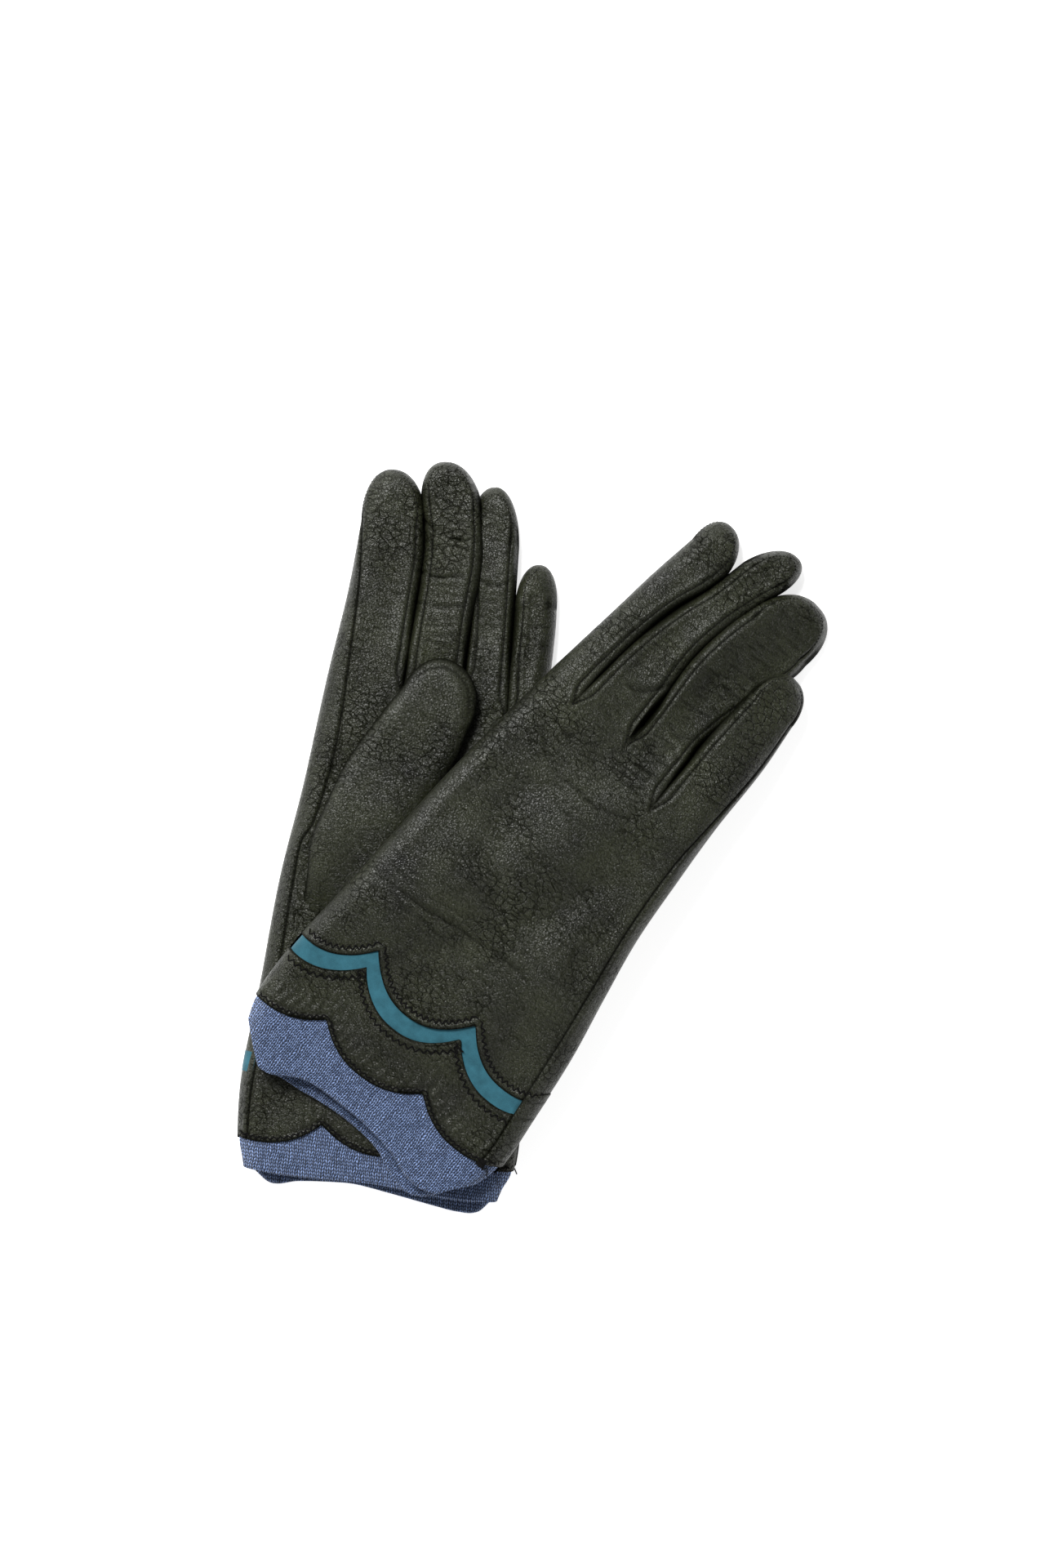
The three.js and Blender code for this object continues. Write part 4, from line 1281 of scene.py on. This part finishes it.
def build_stitches(glove, settings, material):
    """The stitches of every seam of a glove."""
    name = glove["name"]
    patches, _, normals, _ = skin_of(name)
    hand = []
    for lane, finger in enumerate(FINGERS):
        body = f"{name}_{finger}"
        lines = []
        for patch in patches:
            if patch.lane != lane:
                continue
            split = split_row(patch, finger_split(glove, lane))
            last = patch.points.shape[0] - 8
            for from_right, offset, first in lane_seams(glove, patch):
                first += patch.rim
                if first < split:
                    hand.append(seam_line(patch, normals, from_right, offset, first, split + 1))
                lines.append(seam_line(patch, normals, from_right, offset, max(first, split), last))
        obj = stitches_object(f"{body}_stitches", glove, lines, settings, material)
        bend_with(obj, body)
    obj = stitches_object(f"{name}_hand_stitches", glove, hand, settings, material)
    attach(obj, f"{name}_hand")
    build_cuff_stitches(glove, settings, material)


def on_leather(glove, up, x, y, above):
    """Points a little above the leather of one face of the cuff, with their normals."""
    left = x - curve(glove["rails"][0], y)
    right = curve(glove["rails"][4], y) - x
    relief = relief_of(glove, up, x, y, left, right)[0] * ease(np.minimum(left, right) / 2 + 0.1)
    outwards = 1 if up else -1
    z = np.maximum(hand_surface(glove, up, x, y) + outwards * relief, ON_FLOOR) + outwards * above
    return np.stack([x, y, z], -1), np.tile((0.0, 0.0, outwards), (len(x), 1))


def build_cuff_stitches(glove, settings, material):
    """Zigzag stitching beside every scalloped edge, stitches over the hem and the tack that ends a seam."""
    back = not glove["palm_up"]
    left = float(curve(glove["rails"][0], CUFF_LEVEL)) + 1.5
    right = float(curve(glove["rails"][4], CUFF_LEVEL)) - 1.5
    seam = right - float(side_seam(glove, CUFF_LEVEL))
    points, quads = [], []
    total = 0

    def add(place, direction, normal, length, radius):
        nonlocal total
        new_points, new_quads = stitch_mesh(place, direction, normal, length, radius)
        points.append(new_points)
        quads.append(new_quads + total)
        total += len(new_points)

    radius = settings.radius / MM
    edges = (
        (True, HEM, HEM_ZIGZAG_AT, right),
        (False, HEM, HEM_ZIGZAG_AT, right),
        (back, BAND_LOW, -MARGIN, seam),
        (back, BAND_HIGH, MARGIN, right),
    )
    for up, line, off, end in edges:
        at = cusp_of(glove, up)
        x = np.arange(left, end, 0.25)
        base = np.stack([x, scallop(line, x, at)], -1)
        ahead = np.gradient(base, axis=0)
        ahead /= np.linalg.norm(ahead, axis=1, keepdims=True)
        across = np.stack([-ahead[:, 1], ahead[:, 0]], -1)
        run = np.concatenate([[0], np.cumsum(np.linalg.norm(np.diff(base, axis=0), axis=1))])
        zig = ZIGZAG * (2 * np.abs(run / ZIGZAG_LENGTH % 2 - 1) - 1)
        path = base + across * (off + zig * (HEM_ZIGZAG_SHARE if line is HEM else 1))[:, None]
        surface, normal = on_leather(glove, up, path[:, 0], path[:, 1], ZIGZAG_HEIGHT)
        add(*resample(surface, normal, 0.42), 0.6, radius * 1.2)
        if line is HEM:
            picks = np.searchsorted(run, np.arange(0.5, run[-1], WHIP_PITCH))
            middle = base[picks] + across[picks] * HEM_ROLL * 0.5
            surface, normal = on_leather(glove, up, middle[:, 0], middle[:, 1], 0.03)
            slant = across[picks] + 0.25 * ahead[picks]
            direction = np.concatenate([slant, np.zeros((len(slant), 1))], 1)
            direction /= np.linalg.norm(direction, axis=1, keepdims=True)
            add(surface, direction, normal, HEM_ROLL, radius)

    tack_x = np.full(TACK_ROWS, right - float(side_seam(glove, 2)) + 1.6)
    tack_y = np.linspace(1.0, 3.0, TACK_ROWS)
    surface, normal = on_leather(glove, back, tack_x, tack_y, 0.35)
    add(surface, np.tile((1.0, 0.0, 0.0), (TACK_ROWS, 1)), normal, TACK_LENGTH, radius * 1.3)
    run = np.linspace(0, 1, 30)
    tail_x = tack_x[0] + 1.5 + 2.6 * run
    tail_y = tack_y[0] - 0.5 + 1.2 * np.sin(run * 4)
    tail_z = np.maximum(surface[0, 2] - 1.5 * run, ON_FLOOR)
    tail = np.stack([tail_x, tail_y, tail_z], -1)
    add(*resample(tail, np.tile(normal[0], (len(tail), 1)), 0.3), 0.42, radius)

    all_points = np.concatenate(points)
    all_quads = np.concatenate(quads)
    obj = new_object(f"{glove['name']}_cuff_stitches", glove, all_points, all_quads, material)
    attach(obj, f"{glove['name']}_hand")


# ---- Materials -------------------------------------------------------------------------------------------


class Nodes:
    """Shorthand for building a material's node tree."""

    def __init__(self, name):
        self.material = bpy.data.materials.new(name)
        self.material.use_nodes = True
        self.tree = self.material.node_tree
        self.shader = self.tree.nodes["Principled BSDF"]

    def add(self, kind, inputs=(), **settings):
        node = self.tree.nodes.new("ShaderNode" + kind)
        for key, value in settings.items():
            setattr(node, key, value)
        for key, value in dict(inputs).items():
            self.set(node.inputs[key], value)
        return node

    def set(self, socket, value):
        if isinstance(value, bpy.types.NodeSocket):
            self.tree.links.new(value, socket)
        else:
            socket.default_value = value

    def math(self, operation, *values):
        node = self.add("Math", operation=operation)
        for k, value in enumerate(values):
            self.set(node.inputs[k], value)
        return node.outputs[0]

    def grain(self):
        """The piece's own coordinates in millimetres."""
        source = self.add("Attribute", attribute_name="grain", attribute_type="GEOMETRY")
        return source.outputs["Vector"]

    def noise(self, vector, scale, detail, roughness=0.5):
        inputs = {"Vector": vector, "Scale": scale, "Detail": detail, "Roughness": roughness}
        return self.add("TexNoise", inputs).outputs["Fac"]

    def stretched(self, vector, scale):
        return self.add("Mapping", {"Vector": vector, "Scale": scale}).outputs["Vector"]

    def cracks(self, vector, scale):
        """Distance to the nearest line of a net of cracks."""
        inputs = {"Vector": vector, "Scale": scale}
        return self.add("TexVoronoi", inputs, feature="DISTANCE_TO_EDGE").outputs["Distance"]

    def ramp(self, value, *stops):
        node = self.add("ValToRGB", {"Fac": value})
        elements = node.color_ramp.elements
        while len(elements) < len(stops):
            elements.new(0.5)
        for element, (position, color) in zip(elements, stops):
            element.position = position
            element.color = (*color, 1)
        return node.outputs["Color"]

    def range(self, value, low, high):
        """Value brought from between low and high to between 0 and 1."""
        node = self.add("MapRange", {"Value": value, "From Min": low, "From Max": high})
        return node.outputs["Result"]

    def bump(self, height, distance, normal=None, invert=False):
        inputs = {"Height": height, "Distance": distance}
        if normal is not None:
            inputs["Normal"] = normal
        return self.add("Bump", inputs, invert=invert).outputs["Normal"]

    def principled(self, **inputs):
        for key, value in inputs.items():
            self.set(self.shader.inputs[key.replace("_", " ")], value)
        return self.material


def shade(color, factor):
    return tuple(min(1.0, c * factor) for c in color)


def mixed(a, b, t):
    return tuple(mix(p, q, t) for p, q in zip(a, b))


def leather_material(settings):
    n = Nodes("glove_leather")
    color = tuple(settings.color)
    grain = n.grain()
    warp = n.add("TexNoise", {"Vector": grain, "Scale": 0.55, "Detail": 3.0}).outputs["Color"]
    warped = n.add("VectorMath", {0: warp, 1: (1.6, 1.6, 1.6), 2: grain}, operation="MULTIPLY_ADD").outputs[0]
    long = n.stretched(warped, (0.7, 1.1, 0.8))
    pebbles = n.add("TexVoronoi", {"Vector": grain, "Scale": 1.9}).outputs["Distance"]
    small = n.cracks(warped, 0.95)
    large = n.cracks(long, 0.42)
    worn = n.range(n.noise(grain, 0.05, 2.0), 0.44, 0.6)
    small_crack = n.range(small, 0.09, 0.0)
    large_crack = n.math("MULTIPLY", n.range(large, 0.09, 0.01), worn)
    across = n.stretched(warped, (0.22, 1.1, 0.6))
    wrinkles = n.noise(across, 1.0, 5.0, 0.62)
    clouds = n.noise(grain, 0.06, 5.0, 0.6)
    # Painted shade: a per-point mask of folds, seam grooves, gaps between fingers, turned-under edges and
    # thumb outlines darkens the base colour there, lowers the specular and roughens it; the cracks and
    # pebbles vary it as grain.
    painted_shade = n.add("Attribute", attribute_name="painted_shade", attribute_type="GEOMETRY").outputs["Fac"]
    shade_and_grain = n.math("SUBTRACT", 1.0, n.math("MULTIPLY", painted_shade, 0.92))
    shade_and_grain = n.math("MULTIPLY", shade_and_grain, n.math("SUBTRACT", 1.0, n.math("MULTIPLY", small_crack, 0.5)))
    shade_and_grain = n.math("MULTIPLY", shade_and_grain, n.math("SUBTRACT", 1.0, n.math("MULTIPLY", large_crack, 0.72)))
    shade_and_grain = n.math("MULTIPLY", shade_and_grain, n.math("MULTIPLY_ADD", pebbles, -0.7, 1.2))
    tone = n.math("MULTIPLY", shade_and_grain, n.range(clouds, 0.2, 0.8))
    base = n.ramp(tone, (0.0, shade(color, 0.12)), (0.5, color), (1.0, shade(color, 1.9)))
    normal = n.bump(wrinkles, 0.00022)
    normal = n.bump(large_crack, 0.00014, normal, invert=True)
    normal = n.bump(small_crack, 0.00009, normal, invert=True)
    normal = n.bump(pebbles, 0.00013, normal, invert=True)
    rough = n.math("MULTIPLY_ADD", clouds, 0.2, settings.roughness - 0.1)
    rough = n.math("ADD", rough, n.math("MULTIPLY", painted_shade, 0.3))
    gloss = n.math("MULTIPLY", shade_and_grain, 0.45)
    return n.principled(Base_Color=base, Roughness=rough, Specular_IOR_Level=gloss, Normal=normal)


def suede_material(settings):
    n = Nodes("glove_suede")
    color = tuple(settings.suede)
    nap = n.noise(n.grain(), 3.5, 6.0, 0.75)
    cloud = n.noise(n.grain(), 0.3, 3.0)
    tone = n.math("MULTIPLY_ADD", nap, 0.5, n.math("MULTIPLY", cloud, 0.5))
    base = n.ramp(tone, (0.35, shade(color, 0.72)), (0.65, shade(color, 1.3)))
    normal = n.bump(nap, 0.00012)
    return n.principled(
        Base_Color=base, Roughness=0.95, Specular_IOR_Level=0.1, Sheen_Weight=0.25, Sheen_Roughness=0.4,
        Normal=normal,
    )


def knit_material(name, settings):
    """Stockinette: columns of slanted stitch legs, in heathered yarn, with painted shade where the legs dip.
    """
    n = Nodes(name)
    grain = n.grain()
    split = n.add("SeparateXYZ", {"Vector": grain})
    wobble = n.noise(grain, 0.25, 1.0)
    across = n.math("DIVIDE", split.outputs["X"], settings.stitch_width / MM)
    across = n.math("ADD", across, n.math("MULTIPLY", wobble, 1.2))
    along = n.math("DIVIDE", split.outputs["Y"], settings.stitch_height / MM)
    from_middle = n.math("ABSOLUTE", n.math("SUBTRACT", n.math("FRACT", across), 0.5))
    slanted = n.math("MULTIPLY_ADD", from_middle, 1.4, along)
    leg = n.math("ABSOLUTE", n.math("SINE", n.math("MULTIPLY", from_middle, 2 * math.pi)))
    row = n.math("ABSOLUTE", n.math("SINE", n.math("MULTIPLY", slanted, math.pi)))
    height = n.math("MULTIPLY", n.math("POWER", leg, 0.5), n.math("MULTIPLY_ADD", row, 0.55, 0.45))
    leg_number = n.math("FLOOR", n.math("MULTIPLY", across, 2.0))
    row_number = n.math("FLOOR", slanted)
    cell = n.add("CombineXYZ", {"X": leg_number, "Y": row_number})
    yarn = n.add("TexWhiteNoise", {"Vector": cell.outputs["Vector"]}).outputs["Value"]
    fibre = n.noise(grain, 4.0, 3.0)
    heather = n.math("MULTIPLY_ADD", yarn, 0.6, n.math("MULTIPLY_ADD", fibre, 0.5, 0.15))
    # Painted shade: the tone darkens where the stitch legs dip, on top of the heathered yarn's own tone.
    tone = n.math("MULTIPLY", heather, n.math("MULTIPLY_ADD", n.math("POWER", height, 2.2), 1.15, 0.0))
    dark = tuple(settings.yarn_dark)
    light = tuple(settings.yarn_light)
    base = n.ramp(tone, (0.05, shade(dark, 0.45)), (0.35, mixed(dark, light, 0.35)), (0.75, light))
    normal = n.bump(height, 0.001)
    normal = n.bump(fibre, 0.0001, normal)
    return n.principled(
        Base_Color=base, Roughness=0.92, Specular_IOR_Level=0.15, Sheen_Weight=0.2, Normal=normal
    )


def thread_material(settings):
    n = Nodes("glove_thread")
    twist = n.noise(n.grain(), 9.0, 2.0)
    dark = tuple(settings.color)
    base = n.ramp(twist, (0.3, shade(dark, 0.6)), (0.7, shade(dark, 1.5)))
    normal = n.bump(twist, 0.00002)
    return n.principled(Base_Color=base, Roughness=0.85, Specular_IOR_Level=0.08, Normal=normal)


def floor_material(settings):
    n = Nodes("stage_floor")
    return n.principled(
        Base_Color=(*settings.floor, 1), Roughness=0.9, Specular_IOR_Level=0.0,
        Emission_Color=(*settings.floor, 1), Emission_Strength=settings.floor_glow,
    )


# ---- Settings --------------------------------------------------------------------------------------------


class LeatherSettings(bpy.types.PropertyGroup):
    """Colours and finish of the leather and the suede."""

    color: bpy.props.FloatVectorProperty(
        name="Leather", description="Colour of the leather", subtype="COLOR",
        default=(0.0135, 0.0155, 0.0062), min=0, max=1,
    )
    suede: bpy.props.FloatVectorProperty(
        name="Suede", description="Colour of the band", subtype="COLOR", default=(0.026, 0.098, 0.13),
        min=0, max=1,
    )
    roughness: bpy.props.FloatProperty(
        name="Roughness", description="Roughness of the leather", default=0.37, min=0, max=1, subtype="FACTOR"
    )


class KnitSettings(bpy.types.PropertyGroup):
    """Yarn and stitch size of the knitted cuff and lining."""

    yarn_light: bpy.props.FloatVectorProperty(
        name="Light yarn", description="Lighter colour of the yarn", subtype="COLOR",
        default=(0.25, 0.35, 0.62), min=0, max=1,
    )
    yarn_dark: bpy.props.FloatVectorProperty(
        name="Dark yarn", description="Darker colour of the yarn", subtype="COLOR",
        default=(0.02, 0.042, 0.105), min=0, max=1,
    )
    stitch_width: bpy.props.FloatProperty(
        name="Stitch width", description="Width of a column of stitches", default=1.4 * MM, unit="LENGTH"
    )
    stitch_height: bpy.props.FloatProperty(
        name="Stitch height", description="Height of a row of stitches", default=1.1 * MM, unit="LENGTH"
    )


class ThreadSettings(bpy.types.PropertyGroup):
    """The seams' stitching."""

    color: bpy.props.FloatVectorProperty(
        name="Thread", description="Colour of the thread", subtype="COLOR", default=(0.004, 0.004, 0.004),
        min=0, max=1,
    )
    pitch: bpy.props.FloatProperty(
        name="Pitch", description="From one stitch to the next", default=1.15 * MM, unit="LENGTH"
    )
    length: bpy.props.FloatProperty(
        name="Length", description="Length of a stitch", default=0.8 * MM, unit="LENGTH"
    )
    radius: bpy.props.FloatProperty(
        name="Radius", description="Radius of the thread", default=0.2 * MM, unit="LENGTH"
    )


class StageSettings(bpy.types.PropertyGroup):
    """Floor, lights and camera."""

    floor: bpy.props.FloatVectorProperty(
        name="Floor", description="Colour of the floor", subtype="COLOR",
        default=(0.9, 0.9, 0.9), min=0, max=1,
    )
    floor_glow: bpy.props.FloatProperty(
        name="Floor glow", description="Light the floor gives off", default=0.8, min=0
    )
    floor_size: bpy.props.FloatProperty(
        name="Floor size", description="Side of the floor", default=4.0, unit="LENGTH"
    )
    sky: bpy.props.FloatProperty(name="Sky", description="Strength of the even light", default=0.2, min=0)
    key: bpy.props.FloatProperty(
        name="Key light", description="Power of the softbox", default=34.0, min=0, unit="POWER"
    )
    fill: bpy.props.FloatProperty(
        name="Fill light", description="Power of the light from the cuffs' side",
        default=4.0, min=0, unit="POWER",
    )
    lens: bpy.props.FloatProperty(
        name="Lens", description="Focal length of the camera", default=100.0, unit="CAMERA"
    )
    distance: bpy.props.FloatProperty(
        name="Distance", description="Height of the camera over the gloves", default=1.3867, unit="LENGTH"
    )
    centre: bpy.props.FloatVectorProperty(
        name="Centre", description="What the camera looks straight down at", size=3,
        default=(-0.0031, 0.0174, 0.012), subtype="TRANSLATION", unit="LENGTH",
    )


# ---- Operators -------------------------------------------------------------------------------------------


def material_named(name, make):
    """A material by name, made the first time that it's asked for."""
    return bpy.data.materials.get(name) or make()


def leather():
    return material_named("glove_leather", lambda: leather_material(bpy.context.scene.glove_leather))


def knit(name):
    return material_named(name, lambda: knit_material(name, bpy.context.scene.glove_knit))


class GLOVES_OT_skins(bpy.types.Operator):
    """Build the leather of the hands and fingers"""

    bl_idname = "gloves.skins"
    bl_label = "Hands and fingers"

    def execute(self, context):
        for glove in GLOVES:
            build_skin(glove, leather())
        return {"FINISHED"}


class GLOVES_OT_thumbs(bpy.types.Operator):
    """Build the thumbs"""

    bl_idname = "gloves.thumbs"
    bl_label = "Thumbs"

    def execute(self, context):
        for glove in GLOVES:
            build_thumb(glove, leather(), knit("glove_lining"))
        return {"FINISHED"}


class GLOVES_OT_cuffs(bpy.types.Operator):
    """Build the scalloped leather cuffs and the suede bands"""

    bl_idname = "gloves.cuffs"
    bl_label = "Leather cuffs"

    def execute(self, context):
        suede = material_named("glove_suede", lambda: suede_material(context.scene.glove_leather))
        for glove in GLOVES:
            build_cuff(glove, leather(), suede)
        return {"FINISHED"}


class GLOVES_OT_knits(bpy.types.Operator):
    """Build the knitted cuffs"""

    bl_idname = "gloves.knits"
    bl_label = "Knitted cuffs"

    def execute(self, context):
        for glove in GLOVES:
            build_knit(glove, knit("glove_knit"))
        return {"FINISHED"}


class GLOVES_OT_linings(bpy.types.Operator):
    """Build the knitted linings"""

    bl_idname = "gloves.linings"
    bl_label = "Linings"

    def execute(self, context):
        for glove in GLOVES:
            build_linings(glove, knit("glove_lining"))
        return {"FINISHED"}


class GLOVES_OT_stitches(bpy.types.Operator):
    """Build the stitching of the seams and edges"""

    bl_idname = "gloves.stitches"
    bl_label = "Stitching"

    def execute(self, context):
        settings = context.scene.glove_thread
        thread = material_named("glove_thread", lambda: thread_material(settings))
        for glove in GLOVES:
            build_stitches(glove, settings, thread)
        return {"FINISHED"}


def area_light(name, size, power, location, tilt_degrees):
    """A rectangular light that is tilted about x and y."""
    light = bpy.data.lights.new(name, "AREA")
    light.shape = "RECTANGLE"
    light.size, light.size_y = size
    light.energy = power
    obj = bpy.data.objects.new(name, light)
    obj.location = location
    obj.rotation_euler = (math.radians(tilt_degrees[0]), math.radians(tilt_degrees[1]), 0)
    bpy.context.scene.collection.objects.link(obj)
    return obj


class GLOVES_OT_stage(bpy.types.Operator):
    """Set the floor, the lights and the camera"""

    bl_idname = "gloves.stage"
    bl_label = "Stage"

    def execute(self, context):
        settings = context.scene.glove_stage
        scene = context.scene
        half = settings.floor_size / 2
        corners = [(-half, -half, 0), (half, -half, 0), (half, half, 0), (-half, half, 0)]
        mesh = bpy.data.meshes.new("floor")
        mesh.from_pydata(corners, [], [(0, 1, 2, 3)])
        mesh.materials.append(floor_material(settings))
        floor = bpy.data.objects.new("floor", mesh)
        scene.collection.objects.link(floor)

        box = area_light("softbox", (0.7, 0.5), settings.key, (-0.5, 0.75, 1.1), (-34, -22))
        card = area_light("fill", (0.9, 0.5), settings.fill, (0.35, -0.95, 0.8), (50, 20))

        world = bpy.data.worlds.new("studio")
        world.use_nodes = True
        background = world.node_tree.nodes["Background"]
        background.inputs["Color"].default_value = (1, 1, 1, 1)
        background.inputs["Strength"].default_value = settings.sky
        scene.world = world
        scene.view_settings.view_transform = "Standard"

        camera = bpy.data.objects.new("camera", bpy.data.cameras.new("camera"))
        camera.data.lens = settings.lens
        centre = settings.centre
        camera.location = (centre[0], centre[1], centre[2] + settings.distance)
        scene.collection.objects.link(camera)
        scene.camera = camera
        return {"FINISHED"}


class GLOVES_PT_panel(bpy.types.Panel):
    """The pieces of the gloves, in the order in which they are built."""

    bl_label = "Leather gloves"
    bl_idname = "GLOVES_PT_panel"
    bl_space_type = "VIEW_3D"
    bl_region_type = "UI"
    bl_category = "Gloves"

    def draw(self, context):
        layout = self.layout
        for settings in SETTINGS:
            group = getattr(context.scene, settings)
            for key in group.bl_rna.properties.keys():
                if key not in ("rna_type", "name"):
                    layout.prop(group, key)
        for operator in OPERATORS:
            layout.operator(operator.bl_idname)


SETTINGS = {
    "glove_leather": LeatherSettings,
    "glove_knit": KnitSettings,
    "glove_thread": ThreadSettings,
    "glove_stage": StageSettings,
}
OPERATORS = (
    GLOVES_OT_skins,
    GLOVES_OT_thumbs,
    GLOVES_OT_cuffs,
    GLOVES_OT_knits,
    GLOVES_OT_linings,
    GLOVES_OT_stitches,
    GLOVES_OT_stage,
)
CLASSES = (*SETTINGS.values(), *OPERATORS, GLOVES_PT_panel)


def register():
    for cls in CLASSES:
        bpy.utils.register_class(cls)
    for name, cls in SETTINGS.items():
        setattr(bpy.types.Scene, name, bpy.props.PointerProperty(type=cls))


def unregister():
    for name in SETTINGS:
        delattr(bpy.types.Scene, name)
    for cls in reversed(CLASSES):
        bpy.utils.unregister_class(cls)


def main():
    register()
    bpy.ops.gloves.skins()
    bpy.ops.gloves.thumbs()
    bpy.ops.gloves.cuffs()
    bpy.ops.gloves.knits()
    bpy.ops.gloves.linings()
    bpy.ops.gloves.stitches()
    bpy.ops.gloves.stage()


if __name__ == "__main__":
    main()
